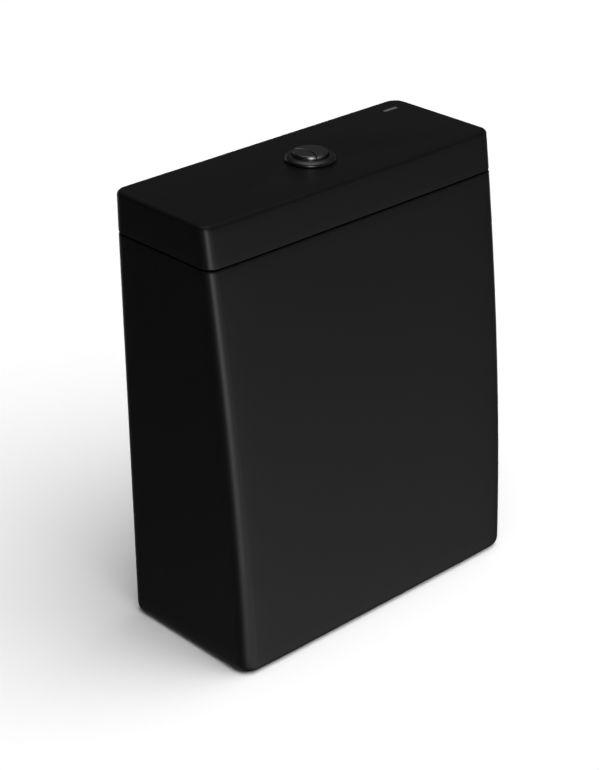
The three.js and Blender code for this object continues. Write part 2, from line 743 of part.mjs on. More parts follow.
function fillFloat() {
  const cup = floatCup(SLEEVE_RADIUS + 1.5, FLOAT_RADIUS, FLOAT_FOOT, FLOAT_TOP, 1.6);
  const ear = block(FLOAT_RADIUS - 1, SCREW_X + 6, -6, 6, FLOAT_TOP - 6, FLOAT_TOP);
  return cut(join(cup, ear), post(SCREW_RADIUS + GAP, FLOAT_TOP - 7, FLOAT_TOP + 1, SCREW_X));
}

// The water level screw. Two collars hold the lever's fork between them.
function adjusterScrew() {
  const CLEAR = 3.6;
  const COLLAR = 4.5;
  const KNOB_Z = 302;
  const stem = SCREW_RADIUS;
  return turned(
    [[0, 180], [stem, 180], [stem, LEVER_Z - CLEAR - 2], [COLLAR, LEVER_Z - CLEAR - 2],
      [COLLAR, LEVER_Z - CLEAR], [stem, LEVER_Z - CLEAR], [stem, LEVER_Z + CLEAR],
      [COLLAR, LEVER_Z + CLEAR], [COLLAR, LEVER_Z + CLEAR + 2], [stem, LEVER_Z + CLEAR + 2],
      [stem, KNOB_Z], [6.5, KNOB_Z], [6.5, KNOB_Z + 6], [0, KNOB_Z + 6]],
    TINY_ROUND,
  );
}

function addFillValve(cistern) {
  const valve = new THREE.Group();
  valve.position.set(-INLET_X, VALVE_Y, 0);
  cistern.add(valve);
  add(valve, "inlet_stem", inletStem(), whitePlastic);
  const washer = ring(SHANK_RADIUS + 0.5, 16.5, FLOOR_Z + GAP, FLOOR_Z + 3 + GAP, 24);
  add(valve, "inlet_washer", washer, blackRubber);
  add(valve, "inlet_back_nut", hexNut(), greyPlastic);
  add(valve, "inlet_filter", inletFilter(), bluePlastic);
  const bore = RISER_RADIUS + 0.4;
  add(valve, "riser_sleeve", ring(bore, SLEEVE_RADIUS, 118.5, HEAD_Z, 24), greyPlastic);
  add(valve, "riser_lock_ring", ring(bore, 16.5, 104, 118.2, 16), bluePlastic);
  add(valve, "fill_valve_head", fillValveHead(), whitePlastic);
  add(valve, "fill_valve_cap", fillValveCap(), bluePlastic);
  const leverPivot = [LEVER_PIVOT_X, 0, LEVER_Z];
  add(valve, "lever_pin", pinAlongY(1.6, -9, 9), steel, leverPivot);
  add(valve, "float_lever", floatLever(), greyPlastic, leverPivot);
  add(valve, "float_cup", fillFloat(), whitePlastic);
  add(valve, "adjuster_screw", adjusterScrew(), bluePlastic, [SCREW_X, 0, 0]);
  const silencer = ring(5.4, 7, 62, 243, 16);
  add(valve, "silencer_tube", silencer, greyPlastic, [0, SILENCER_Y, 0]);
}

// The right hand inlet hole isn't used, so it is closed.
function addBlankingPlug(cistern) {
  const flangeFoot = FLOOR_Z + GAP;
  const plug = turned(
    [[0, 18], [10.3, 18], [10.3, flangeFoot], [17, flangeFoot], [17, 49], [15, 50.5], [0, 50.5]],
    24,
  );
  const at = [INLET_X, VALVE_Y, 0];
  add(cistern, "blanking_plug", plug, whitePlastic, at);
  add(cistern, "plug_nut", hexNut(), greyPlastic, at);
}

// ---------------------------------------------------------------- assembly

function add(group, name, geometry, material, position = [0, 0, 0], turn = 0) {
  const mesh = new THREE.Mesh(geometry, material);
  mesh.name = name;
  mesh.position.set(...position);
  mesh.rotation.z = turn;
  group.add(mesh);
}

const cistern = new THREE.Group();
cistern.name = "close_coupled_cistern";
addChina(cistern);
addButton(cistern);
addFlushValve(cistern);
addFillValve(cistern);
addBlankingPlug(cistern);

export default cistern;
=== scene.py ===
"""The looks of the black close coupled cistern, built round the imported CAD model.

Shapes are drawn in millimetres in the CAD's frame and scaled to metres when a piece is made.
Each detailed piece stands for one CAD node, on that node's body and in its material slot.
"""

import json
import math

import bmesh
import bpy
from mathutils import Matrix, Vector


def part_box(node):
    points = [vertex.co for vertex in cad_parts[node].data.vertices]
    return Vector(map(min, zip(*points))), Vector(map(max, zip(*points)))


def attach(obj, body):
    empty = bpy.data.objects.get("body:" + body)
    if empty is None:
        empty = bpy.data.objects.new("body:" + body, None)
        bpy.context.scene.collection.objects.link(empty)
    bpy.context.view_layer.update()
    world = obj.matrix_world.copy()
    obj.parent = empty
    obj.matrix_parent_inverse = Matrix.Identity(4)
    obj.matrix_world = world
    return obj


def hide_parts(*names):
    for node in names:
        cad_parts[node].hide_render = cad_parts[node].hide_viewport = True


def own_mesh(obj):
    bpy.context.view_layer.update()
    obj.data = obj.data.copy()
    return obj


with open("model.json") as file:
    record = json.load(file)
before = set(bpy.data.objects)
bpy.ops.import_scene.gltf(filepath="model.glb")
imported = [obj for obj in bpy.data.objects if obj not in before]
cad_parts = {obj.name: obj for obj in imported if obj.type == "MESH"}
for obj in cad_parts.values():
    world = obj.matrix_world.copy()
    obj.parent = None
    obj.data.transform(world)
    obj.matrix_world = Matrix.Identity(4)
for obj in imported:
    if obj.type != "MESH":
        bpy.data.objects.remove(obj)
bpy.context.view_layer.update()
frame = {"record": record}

BODY = {
    node: body
    for body, nodes in frame["record"]["behaviour"]["bodies"].items()
    for node in nodes
}
SLOT = {part["node"]: part["material_slot"] for part in frame["record"]["subparts"]}
MM = 0.001
LOOSE = 0.3  # millimetres between parts that slide or stand on one another

# ---- camera

AIM = Vector((-0.0172, 0.0131, 0.2104))
DISTANCE = 1.9402
AZIMUTH = math.radians(-42.83)
ELEVATION = math.radians(26.82)
ROLL = math.radians(-0.373)
LENS = 97.07
SENSOR_WIDTH = 36

camera_data = bpy.data.cameras.new("camera")
camera_data.lens = LENS
camera_data.sensor_width = SENSOR_WIDTH
camera = bpy.data.objects.new("camera", camera_data)
bpy.context.scene.collection.objects.link(camera)
towards_camera = Vector((
    math.sin(AZIMUTH) * math.cos(ELEVATION),
    -math.cos(AZIMUTH) * math.cos(ELEVATION),
    math.sin(ELEVATION),
))
camera.location = AIM + DISTANCE * towards_camera
turn = towards_camera.to_track_quat("Z", "Y").to_matrix() @ Matrix.Rotation(ROLL, 3, "Z")
camera.rotation_euler = turn.to_euler()
bpy.context.scene.camera = camera

# ---- node materials

NOISE_LOW, NOISE_HIGH = 0.3, 0.7  # nearly all of a noise lies between these


class Nodes:
    """A short way to write a material's node tree."""

    def __init__(self, name):
        self.material = bpy.data.materials.new(name)
        self.material.use_nodes = True
        self.tree = self.material.node_tree
        self.tree.nodes.clear()
        self.shader = self.tree.nodes.new("ShaderNodeBsdfPrincipled")
        output = self.tree.nodes.new("ShaderNodeOutputMaterial")
        self.tree.links.new(self.shader.outputs[0], output.inputs["Surface"])
        self.place = self.tree.nodes.new("ShaderNodeTexCoord").outputs["Object"]

    def add(self, kind, settings=None, **inputs):
        node = self.tree.nodes.new(kind)
        for key, value in (settings or {}).items():
            setattr(node, key, value)
        for key, value in inputs.items():
            self.put(node.inputs[key.replace("_", " ")], value)
        return node

    def put(self, socket, value):
        if isinstance(value, bpy.types.NodeSocket):
            self.tree.links.new(value, socket)
        else:
            socket.default_value = value

    def set(self, **inputs):
        for key, value in inputs.items():
            self.put(self.shader.inputs[key.replace("_", " ")], value)

    def noise(self, scale, detail, where=None):
        made = self.add(
            "ShaderNodeTexNoise", Scale=scale, Detail=detail, Roughness=0.5,
            Vector=where or self.place,
        )
        return made.outputs["Fac"]

    def span(self, value, low, high, to_low=0.0, to_high=1.0):
        made = self.add("ShaderNodeMapRange", Value=value)
        made.inputs["From Min"].default_value = low
        made.inputs["From Max"].default_value = high
        made.inputs["To Min"].default_value = to_low
        made.inputs["To Max"].default_value = to_high
        return made.outputs["Result"]

    def worn(self, scale, detail, least, most):
        """A roughness that wanders between two values."""
        return self.span(self.noise(scale, detail), NOISE_LOW, NOISE_HIGH, least, most)

    def math(self, operation, first, second=0.0):
        made = self.add("ShaderNodeMath", {"operation": operation})
        self.put(made.inputs[0], first)
        self.put(made.inputs[1], second)
        return made.outputs[0]

    def mix(self, share, first, second):
        made = self.add("ShaderNodeMix", {"data_type": "RGBA"})
        self.put(made.inputs["Factor"], share)
        self.put(made.inputs["A"], first)
        self.put(made.inputs["B"], second)
        return made.outputs["Result"]

    def axis(self, name):
        return self.add("ShaderNodeSeparateXYZ", Vector=self.place).outputs[name]

    def bump(self, height, strength, distance, after=None):
        made = self.add("ShaderNodeBump", Height=height, Strength=strength, Distance=distance)
        if after:
            self.tree.links.new(after, made.inputs["Normal"])
        return made.outputs["Normal"]

    def let_light_in(self, weight, radius):
        self.set(Subsurface_Weight=weight, Subsurface_Radius=radius)


def rgb(red, green, blue):
    return (red, green, blue, 1.0)


def shade(base, factor, lift=0.0):
    return rgb(*[min(1.0, c * factor + lift) for c in base])


def glazed_china(name, base, gloss, ripple_height=0.0006):
    """Satin glaze: slow ripple from the slip casting, fine orange peel and a few pinholes."""
    m = Nodes(name)
    ripple = m.noise(14, 1.0)
    peel = m.noise(420, 2.0)
    grain = m.noise(2600, 2.0)
    holes = m.span(m.noise(700, 0.0), 0.78, 0.86)
    tone = m.mix(m.noise(9, 3.0), shade(base, 0.88), shade(base, 1.12))
    rough = m.worn(60, 4.0, gloss - 0.025, gloss + 0.03)
    normal = m.bump(ripple, 0.2, ripple_height)
    normal = m.bump(peel, 0.22, 0.00012, normal)
    normal = m.bump(grain, 0.06, 0.00004, normal)
    normal = m.bump(m.math("MULTIPLY", holes, -1.0), 0.3, 0.0001, normal)
    m.set(Base_Color=tone, Roughness=rough, Normal=normal, IOR=1.5)
    return m


def plastic(name, base, gloss, clear=0.0):
    """Moulded plastic: a faint flow in its colour, a fine tool texture and slow sink marks."""
    m = Nodes(name)
    tone = m.mix(m.noise(25, 3.0), shade(base, 0.92), shade(base, 1.08))
    rough = m.worn(180, 3.0, gloss - 0.05, gloss + 0.06)
    normal = m.bump(m.noise(1500, 2.0), 0.12, 0.00006)
    normal = m.bump(m.noise(60, 1.0), 0.12, 0.0003, normal)
    m.set(Base_Color=tone, Roughness=rough, Normal=normal)
    if clear:
        m.let_light_in(clear, (0.004, 0.004, 0.003))
    return m


def rubber(name, base, gloss, cell_scale=0.0, clear=0.0):
    """Rubber: a dusty bloom, or the open skin of a foam when it has cells."""
    m = Nodes(name)
    bloom = m.mix(m.noise(90, 4.0), shade(base, 0.8), shade(base, 1.25, 0.004))
    rough = m.worn(300, 3.0, gloss - 0.06, gloss + 0.06)
    if cell_scale:
        cells = m.add("ShaderNodeTexVoronoi", Scale=cell_scale, Vector=m.place)
        normal = m.bump(cells.outputs["Distance"], 0.6, 0.0005)
    else:
        normal = m.bump(m.noise(900, 3.0), 0.2, 0.0001)
    m.set(Base_Color=bloom, Roughness=rough, Normal=normal)
    if clear:
        m.let_light_in(clear, (0.003, 0.003, 0.002))
    return m


def metal(name, base, gloss, scratch=0.0):
    """Plated metal with a faint smear, or drawn metal with hairlines when it has scratches."""
    m = Nodes(name)
    smear = m.noise(70, 3.0)
    rough = m.span(smear, NOISE_LOW, NOISE_HIGH, gloss - 0.03, gloss + 0.05)
    tone = m.mix(smear, shade(base, 0.92), shade(base, 1.08))
    m.set(Base_Color=tone, Roughness=rough, Metallic=1.0)
    if scratch:
        stretched = m.add("ShaderNodeMapping", Vector=m.place)
        stretched.inputs["Scale"].default_value = (60, 60, 2400)
        lines = m.noise(1.0, 3.0, where=stretched.outputs[0])
        m.set(Normal=m.bump(lines, scratch, 0.00004))
    return m


BLACK = (0.0031, 0.0031, 0.0033)
CHINA_GLOSS = 0.34
MARK_X, MARK_Y = 0.1466, 0.0611
MARK_STROKE = 0.0066  # half the length of the dash between its round ends
MARK_END = 0.0022  # radius of its ends
MARK_FADE = 0.0002
MARK_LEAST_Z = 0.4285  # only the lid's top face is above this


def print_mark(m):
    """A plain grey dash printed on the lid, near its back right corner."""
    base = m.shader.inputs["Base Color"].links[0].from_socket
    across = m.math("ABSOLUTE", m.math("SUBTRACT", m.axis("X"), MARK_X))
    along = m.math("ABSOLUTE", m.math("SUBTRACT", m.axis("Y"), MARK_Y))
    past_end = m.math("MAXIMUM", m.math("SUBTRACT", across, MARK_STROKE), 0.0)
    squares = m.math("ADD", m.math("POWER", past_end, 2.0), m.math("POWER", along, 2.0))
    mask = m.span(m.math("POWER", squares, 0.5), MARK_END, MARK_END - MARK_FADE)
    above = m.span(m.axis("Z"), MARK_LEAST_Z, MARK_LEAST_Z + MARK_FADE)
    m.set(Base_Color=m.mix(m.math("MULTIPLY", mask, above), base, rgb(0.1, 0.1, 0.1)))


lid_china = glazed_china("satin_black_glaze_lid", BLACK, CHINA_GLOSS)
print_mark(lid_china)
inner_china = glazed_china(
    "thin_black_glaze_inside", (0.012, 0.0118, 0.0118), 0.46, ripple_height=0.0016
)
biscuit = rubber("unglazed_biscuit", (0.5, 0.46, 0.41), 0.85)  # as dusty as rubber
# The buttons' caps and the bezel are one black-nickel chrome. The caps' copy has a lighter base
# colour as a painted highlight, and the bezel's copy under dark_trim has a darker one as painted
# shade.
cap_chrome_painted_lighter = metal("chrome_cap_painted_lighter", (0.42, 0.42, 0.43), 0.17)

FINISH = {
    "black_china": glazed_china("satin_black_glaze", BLACK, CHINA_GLOSS),
    # The bezel's chrome: darker than the caps' copy of the same chrome, as painted shade.
    "dark_trim": metal("dark_chrome", (0.22, 0.22, 0.23), 0.22),
    "white_plastic": plastic("white_plastic", (0.76, 0.76, 0.73), 0.38, clear=0.25),
    "grey_plastic": plastic("grey_plastic", (0.2, 0.215, 0.23), 0.45),
    "blue_plastic": plastic("blue_plastic", (0.02, 0.1, 0.36), 0.36),
    "black_rubber": rubber("black_rubber", (0.012, 0.012, 0.012), 0.7),
    "foam_rubber": rubber("foam_rubber", (0.02, 0.02, 0.022), 0.9, cell_scale=900),
    "pale_silicone": rubber("pale_silicone", (0.62, 0.58, 0.5), 0.5, clear=0.5),
    "steel": metal("drawn_steel", (0.56, 0.57, 0.58), 0.24, scratch=0.3),
}

# ---- mesh tools

TINY = 1e-6
ON_WALL = 0.01  # how near a threaded wall's radius a point counts as on it


def skin(rows):
    """A closed body over rows of points, each row a ring. The first and last are capped."""
    bm = bmesh.new()
    verts = [[bm.verts.new(p) for p in row] for row in rows]
    count = len(rows[0])
    for low, high in zip(verts, verts[1:]):
        for i in range(count):
            j = (i + 1) % count
            bm.faces.new((low[i], low[j], high[j], high[i]))
    bm.faces.new(list(reversed(verts[0])))
    bm.faces.new(verts[-1])
    return bm


def soften(profile, radius):
    """Rounds the corners of a profile of (r, z) points. Ends on the axis stay sharp."""
    STEPS = 3
    STRAIGHT = math.radians(165)
    MOST_OF_EDGE = 0.45
    closed = profile[0][0] > 0
    points = [Vector(p) for p in profile]
    count = len(points)
    result = []
    for i, corner in enumerate(points):
        if not closed and i in (0, count - 1):
            result.append(tuple(corner))
            continue
        back = points[i - 1] - corner
        ahead = points[(i + 1) % count] - corner
        if back.length < TINY or ahead.length < TINY:
            continue
        angle = back.angle(ahead)
        if angle > STRAIGHT:
            result.append(tuple(corner))
            continue
        reach = radius / math.tan(angle / 2)
        reach = min(reach, back.length * MOST_OF_EDGE, ahead.length * MOST_OF_EDGE)
        start = corner + back.normalized() * reach
        end = corner + ahead.normalized() * reach
        for step in range(STEPS + 1):
            t = step / STEPS
            point = start * (1 - t) ** 2 + corner * 2 * t * (1 - t) + end * t * t
            result.append(tuple(point))
    return result


def turned(profile, x=0.0, y=0.0, sides=72, edge=0.0, screw=None):
    """Revolves (r, z) points about the upright line through x, y.

    screw is (radius, low z, high z, pitch, depth) and cuts a thread into the wall there.
    """
    if edge:
        profile = soften(profile, edge)
    if screw:
        profile = split_wall(profile, screw)
    closed = profile[0][0] > TINY
    bm = bmesh.new()
    rows = []
    for radius, z in profile:
        if radius < TINY:
            rows.append([bm.verts.new((x, y, z))])
            continue
        row = []
        for i in range(sides):
            angle = 2 * math.pi * i / sides
            r = radius - thread_depth(radius, z, angle, screw) if screw else radius
            row.append(bm.verts.new((x + r * math.cos(angle), y + r * math.sin(angle), z)))
        rows.append(row)
    pairs = list(zip(rows, rows[1:]))
    if closed:
        pairs.append((rows[-1], rows[0]))
    for low, high in pairs:
        for i in range(sides):
            j = (i + 1) % sides
            foot = (low[i % len(low)], low[j % len(low)])
            top = (high[j % len(high)], high[i % len(high)])
            corners = list(dict.fromkeys(foot + top))
            if len(corners) > 2:
                bm.faces.new(corners)
    return bm


def split_wall(profile, screw):
    """Adds points along the wall that carries a thread."""
    PER_TURN = 8
    radius, _, _, pitch, _ = screw
    result = []
    count = len(profile)
    for i, (r0, z0) in enumerate(profile):
        result.append((r0, z0))
        r1, z1 = profile[(i + 1) % count]
        upright = abs(r0 - radius) < ON_WALL and abs(r1 - radius) < ON_WALL
        if upright and abs(z1 - z0) > pitch:
            cuts = int(abs(z1 - z0) / pitch * PER_TURN)
            result += [(radius, z0 + (z1 - z0) * k / cuts) for k in range(1, cuts)]
    return result


def thread_depth(radius, z, angle, screw):
    """How deep the thread goes at one point. It fades out over its first and last turn."""
    wall, low, high, pitch, depth = screw
    if abs(radius - wall) > ON_WALL or not low < z < high:
        return 0.0
    fade = min(1.0, (z - low) / pitch, (high - z) / pitch)
    wave = 0.5 - 0.5 * math.cos(2 * math.pi * (z / pitch) - angle)
    return depth * fade * wave


def ring(inner, outer, z0, z1, x=0.0, y=0.0, edge=0.4, sides=72):
    return turned([(inner, z0), (outer, z0), (outer, z1), (inner, z1)], x, y, sides, edge)


def rod(radius, z0, z1, x=0.0, y=0.0, edge=0.3, sides=40):
    return turned([(0, z0), (radius, z0), (radius, z1), (0, z1)], x, y, sides, edge)


def lying(bm, x, z):
    """Turns an upright body to lie along Y, and moves it."""
    matrix = Matrix.Translation((x, 0, z)) @ Matrix.Rotation(-math.pi / 2, 4, "X")
    bmesh.ops.transform(bm, matrix=matrix, verts=bm.verts)
    return bm


def lying_rod(radius, y0, y1, x, z, edge=0.3):
    return lying(rod(radius, y0, y1, edge=edge, sides=32), x, z)


def bevelled(bm, edges, width, segments=2):
    bmesh.ops.bevel(
        bm, geom=edges, offset=width, segments=segments, profile=0.5,
        affect="EDGES", clamp_overlap=True,
    )
    return bm


def brick(x0, x1, y0, y1, z0, z1, edge=0.5, segments=2):
    bm = bmesh.new()
    bmesh.ops.create_cube(bm, size=1)
    size = Matrix.Diagonal((x1 - x0, y1 - y0, z1 - z0, 1))
    middle = Matrix.Translation(((x0 + x1) / 2, (y0 + y1) / 2, (z0 + z1) / 2))
    bmesh.ops.transform(bm, matrix=middle @ size, verts=bm.verts)
    return bevelled(bm, bm.edges[:], edge, segments) if edge else bm


def moved(bm, x=0.0, y=0.0, z=0.0, spin=0.0):
    matrix = Matrix.Translation((x, y, z)) @ Matrix.Rotation(spin, 4, "Z")
    bmesh.ops.transform(bm, matrix=matrix, verts=bm.verts)
    return bm


def in_circle(bm_of, count, offset=0.0):
    """Copies of a body, spread evenly round the upright axis."""
    return [moved(bm_of(), spin=2 * math.pi * (k + offset) / count) for k in range(count)]


def object_of(bm, name="work"):
    bmesh.ops.recalc_face_normals(bm, faces=bm.faces)
    mesh = bpy.data.meshes.new(name)
    bm.to_mesh(mesh)
    bm.free()
    made = bpy.data.objects.new(name, mesh)
    bpy.context.scene.collection.objects.link(made)
    return made


def combine(operation, first, *others):
    """Boolean of closed bodies, as a new bmesh. Every input is used up."""
    work = object_of(first)
    tools = [object_of(other) for other in others]
    for tool in tools:
        modifier = work.modifiers.new("boolean", "BOOLEAN")
        modifier.operation = operation
        modifier.solver = "MANIFOLD"
        modifier.object = tool
    bpy.context.view_layer.update()
    graph = bpy.context.evaluated_depsgraph_get()
    done = bpy.data.meshes.new_from_object(work.evaluated_get(graph))
    bm = bmesh.new()
    bm.from_mesh(done)
    bpy.data.meshes.remove(done)
    for used in [work, *tools]:
        mesh = used.data
        bpy.data.objects.remove(used)
        bpy.data.meshes.remove(mesh)
    return bm


def cut(first, *others):
    return combine("DIFFERENCE", first, *others)


def join(first, *others):
    return combine("UNION", first, *others)


def sharp_edges_bevelled(bm, width):
    """Rounds the sharp edges of a body made of flat and round faces."""
    SHARP = math.radians(38)
    bmesh.ops.remove_doubles(bm, verts=bm.verts, dist=0.001)
    bmesh.ops.dissolve_limit(bm, angle_limit=math.radians(1), verts=bm.verts, edges=bm.edges)
    sharp = [e for e in bm.edges if len(e.link_faces) == 2 and e.calc_face_angle(0) > SHARP]
    return bevelled(bm, sharp, width)


def piece(node, bm, material=None, sharp=40):
    """Makes a piece of the model out of bm and lets it stand for a CAD node.

    sharp is the angle in degrees above which an edge isn't shaded smooth.
    """
    bmesh.ops.remove_doubles(bm, verts=bm.verts, dist=0.0005)
    bmesh.ops.scale(bm, vec=(MM, MM, MM), verts=bm.verts)
    made = object_of(bm, f"look_{node}")
    mesh = made.data
    mesh.polygons.foreach_set("use_smooth", [True] * len(mesh.polygons))
    mesh.set_sharp_from_angle(angle=math.radians(sharp))
    mesh.materials.append((material or FINISH[SLOT[node]]).material)
    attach(made, BODY[node])
    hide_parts(node)
    return made


def box_of(node):
    """The low and the high corner of a CAD node's box, in millimetres."""
    return [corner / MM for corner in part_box(node)]


def centre(node):
    """The middle of a CAD node, in millimetres."""
    low, high = box_of(node)
    return (low + high) / 2


def heights(node):
    """The lowest and the highest z of a CAD node, in millimetres."""
    low, high = box_of(node)
    return low.z, high.z


def washer(node, bore, radius, edge, sides=72):
    """A plain ring from the foot to the top of its CAD node."""
    z0, z1 = heights(node)
    x, y, _ = centre(node)
    piece(node, ring(bore, radius, z0, z1, x, y, edge, sides))


# ---- china

tank_low, tank_high = box_of("cistern_tank")
WIDTH = tank_high.x - tank_low.x
FOOT_WIDTH = 346.5
BACK = tank_high.y
RIM_Z = tank_high.z
LIP_FOOT_Z, HEIGHT = heights("cistern_lid")
LIP_REACH = 10
LID_FOOT_Z = LIP_FOOT_Z + LIP_REACH
VALVE_X, VALVE_Y, _ = centre("outlet_base")
INLET_X = centre("blanking_plug").x
TOP_DEPTH = 125.2
FOOT_DEPTH = 164.8
TOP_LEAN = 0.1467  # how steeply the front leans forward at the top, and at the foot
FOOT_LEAN = 0.0254
FRONT_CORNER_TOP = 10
FRONT_CORNER_FOOT = 16
FRONT_CROWN = 1.5  # how far the cast front falls back at its two corners
CROWN_POWER = 8
BACK_CORNER = 14
LEAST_CORNER = 5
WALL = 9
FLOOR_Z = 45
RECESS_Z = 34
SKIRT = 22
LID_ROOF = 10
LID_WALL = 17
LIP_INSET = 11.5
BUTTON_HOLE = 19.5
OUTLET_HOLE = 26.5
BOLT_HOLE = 7
BOLT_X = 75
INLET_HOLE = 11.5
WALL_SCREW_HOLE = 4
WALL_SCREW_X = 105
WALL_SCREW_Z = 352
HOSE_NOTCH = 15
NOTCH_TOP = 22
INSIDE_GLAZE, BARE_FOOT = 1, 2  # material slots after the first


def front_depth(z):
    """From the wall face to the front at height z: a curve between a lean at each end."""
    t = 1 - z / HEIGHT
    foot = t * t * (3 - 2 * t)
    from_top = TOP_DEPTH * (1 - foot) + TOP_LEAN * HEIGHT * t * (1 - t) ** 2
    return from_top + FOOT_DEPTH * foot - FOOT_LEAN * HEIGHT * t * t * (1 - t)


def depth_inside(x, y, z):
    """How far a point is from the nearest side of the china."""
    return min(WIDTH / 2 - abs(x), BACK - y, y - (BACK - front_depth(z)))


def outline(z, inset):
    """The china's outline at height z: four corner arcs with points along the sides between."""
    CORNER_STEPS, LONG_STEPS, SHORT_STEPS = 10, 28, 8
    right = (FOOT_WIDTH + (WIDTH - FOOT_WIDTH) * min(z / RIM_Z, 1)) / 2 - inset
    back = BACK - inset
    front = BACK - front_depth(z) + inset
    front_corner = FRONT_CORNER_FOOT + (FRONT_CORNER_TOP - FRONT_CORNER_FOOT) * z / HEIGHT
    back_r = max(BACK_CORNER - inset, LEAST_CORNER)
    front_r = max(front_corner - inset, LEAST_CORNER)
    corners = [
        (right - back_r, back - back_r, back_r),
        (back_r - right, back - back_r, back_r),
        (front_r - right, front + front_r, front_r),
        (right - front_r, front + front_r, front_r),
    ]
    arcs = []
    for quarter, (x, y, radius) in enumerate(corners):
        arc = []
        for step in range(CORNER_STEPS + 1):
            angle = (quarter + step / CORNER_STEPS) * math.pi / 2
            arc.append(Vector((x + radius * math.cos(angle), y + radius * math.sin(angle), z)))
        arcs.append(arc)
    points = []
    for quarter, arc in enumerate(arcs):
        points += arc
        steps = LONG_STEPS if quarter % 2 == 0 else SHORT_STEPS
        following = arcs[(quarter + 1) % 4][0]
        points += [arc[-1].lerp(following, k / steps) for k in range(1, steps)]
    for point in points:
        forward = (back - point.y) / (back - front)
        point.y += FRONT_CROWN * forward * (abs(point.x) / right) ** CROWN_POWER
    return points


def arc_rows(z_edge, radius, rising, steps=8):
    """Rows of (z, pull inwards) for a rounded edge. rising is +1 from a foot, -1 up to a top."""
    rows = []
    for step in range(steps):
        angle = step / steps * math.pi / 2
        z = z_edge + rising * radius * (1 - math.cos(angle))
        rows.append((z, radius * (1 - math.sin(angle))))
    return rows if rising > 0 else list(reversed(rows))


def china_body(z0, z1, inset, lower=0.0, upper=0.0, pitch=11.0, extra=()):
    """A body between two heights. extra holds more (z, pull) rows for its top."""
    rows = arc_rows(z0, lower, 1) if lower else []
    first, last = z0 + lower, z1 - upper
    levels = max(1, round((last - first) / pitch))
    rows += [(first + (last - first) * k / levels, 0.0) for k in range(levels + 1)]
    rows += arc_rows(z1, upper, -1) if upper else []
    rows += list(extra)
    return skin([outline(z, inset + pull) for z, pull in rows])


def flared_hole(radius, z0, z1, x, y, flare=1.6, sides=64):
    """A cutter for a hole whose two edges the glaze has rounded."""
    STEPS = 4
    lower, upper = [], []
    for step in range(STEPS + 1):
        angle = step / STEPS * math.pi / 2
        grow = flare * (1 - math.sin(angle))
        rise = flare * (1 - math.cos(angle))
        lower.append((radius + grow, z0 + rise))
        upper.append((radius + grow, z1 - rise))
    profile = [(0, z0 - 1), (radius + flare, z0 - 1), *lower]
    profile += [*reversed(upper), (radius + flare, z1 + 1), (0, z1 + 1)]
    return turned(profile, x, y, sides)


def notch_cutter(x):
    """The arch for the supply hose, flared where it meets the two faces of the foot."""
    STEPS, FLARE, UNDER = 20, 2, -2
    middle = NOTCH_TOP - HOSE_NOTCH
    inner = BACK - SKIRT
    stations = [
        (BACK + 1, FLARE), (BACK - 0.2, FLARE * 0.7), (BACK - 1, FLARE * 0.3), (BACK - FLARE, 0),
        (inner + FLARE, 0), (inner + 1, FLARE * 0.3), (inner + 0.2, FLARE * 0.7),
        (inner - 1.5, FLARE),
    ]
    rows = []
    for y, grow in stations:
        radius = HOSE_NOTCH + grow
        arch = [math.pi * step / STEPS for step in range(STEPS + 1)]
        rows.append([
            Vector((x + radius, y, UNDER)),
            *[Vector((x + radius * math.cos(a), y, middle + radius * math.sin(a))) for a in arch],
            Vector((x - radius, y, UNDER)),
        ])
    return skin(rows)


def build_tank():
    FOOT_EDGE, RIM_EDGE, FLOOR_EDGE, RECESS_EDGE = 10, 1.4, 12, 4
    FOOT_BAND = 0.6
    outer = china_body(0, RIM_Z, 0, lower=FOOT_EDGE, upper=RIM_EDGE)
    flare = [(RIM_Z - RIM_EDGE + RIM_EDGE * math.sin(a), -RIM_EDGE * (1 - math.cos(a)))
             for a in (0.3, 0.6, 0.9, 1.2, 1.5)]
    flare.append((RIM_Z + 1, -RIM_EDGE))
    inner = china_body(FLOOR_Z, RIM_Z - RIM_EDGE, WALL, lower=FLOOR_EDGE, extra=flare)
    rows = [(-1.0, -1.6), (0.0, -1.6), (0.4, -0.7), (1.6, 0.0), (RECESS_Z - RECESS_EDGE, 0.0)]
    rows += arc_rows(RECESS_Z, RECESS_EDGE, -1)
    recess = skin([outline(z, SKIRT + pull) for z, pull in rows])
    outlet = flared_hole(OUTLET_HOLE, RECESS_Z, FLOOR_Z, VALVE_X, VALVE_Y, sides=96)
    cutters = [inner, recess, outlet]
    for side in (-1, 1):
        wall_hole = flared_hole(WALL_SCREW_HOLE, BACK - WALL, BACK, 0, 0, flare=1.2)
        cutters += [
            flared_hole(BOLT_HOLE, RECESS_Z, FLOOR_Z, side * BOLT_X, VALVE_Y),
            flared_hole(INLET_HOLE, RECESS_Z, FLOOR_Z, side * INLET_X, VALVE_Y),
            lying(wall_hole, side * WALL_SCREW_X, WALL_SCREW_Z),
            notch_cutter(side * INLET_X),
        ]
    mesh = piece("cistern_tank", cut(outer, *cutters), sharp=50).data
    mesh.materials.append(inner_china.material)
    mesh.materials.append(biscuit.material)
    for face in mesh.polygons:
        x, y, z = face.center / MM
        depth = depth_inside(x, y, z)
        in_water_space = depth > WALL - 1.5 and FLOOR_Z - 0.5 < z < RIM_Z - 3
        in_recess = depth > SKIRT - 2 and z < RECESS_Z + 0.5
        if z < FOOT_BAND and face.normal.z < -0.9:
            face.material_index = BARE_FOOT
        elif in_water_space or in_recess:
            face.material_index = INSIDE_GLAZE


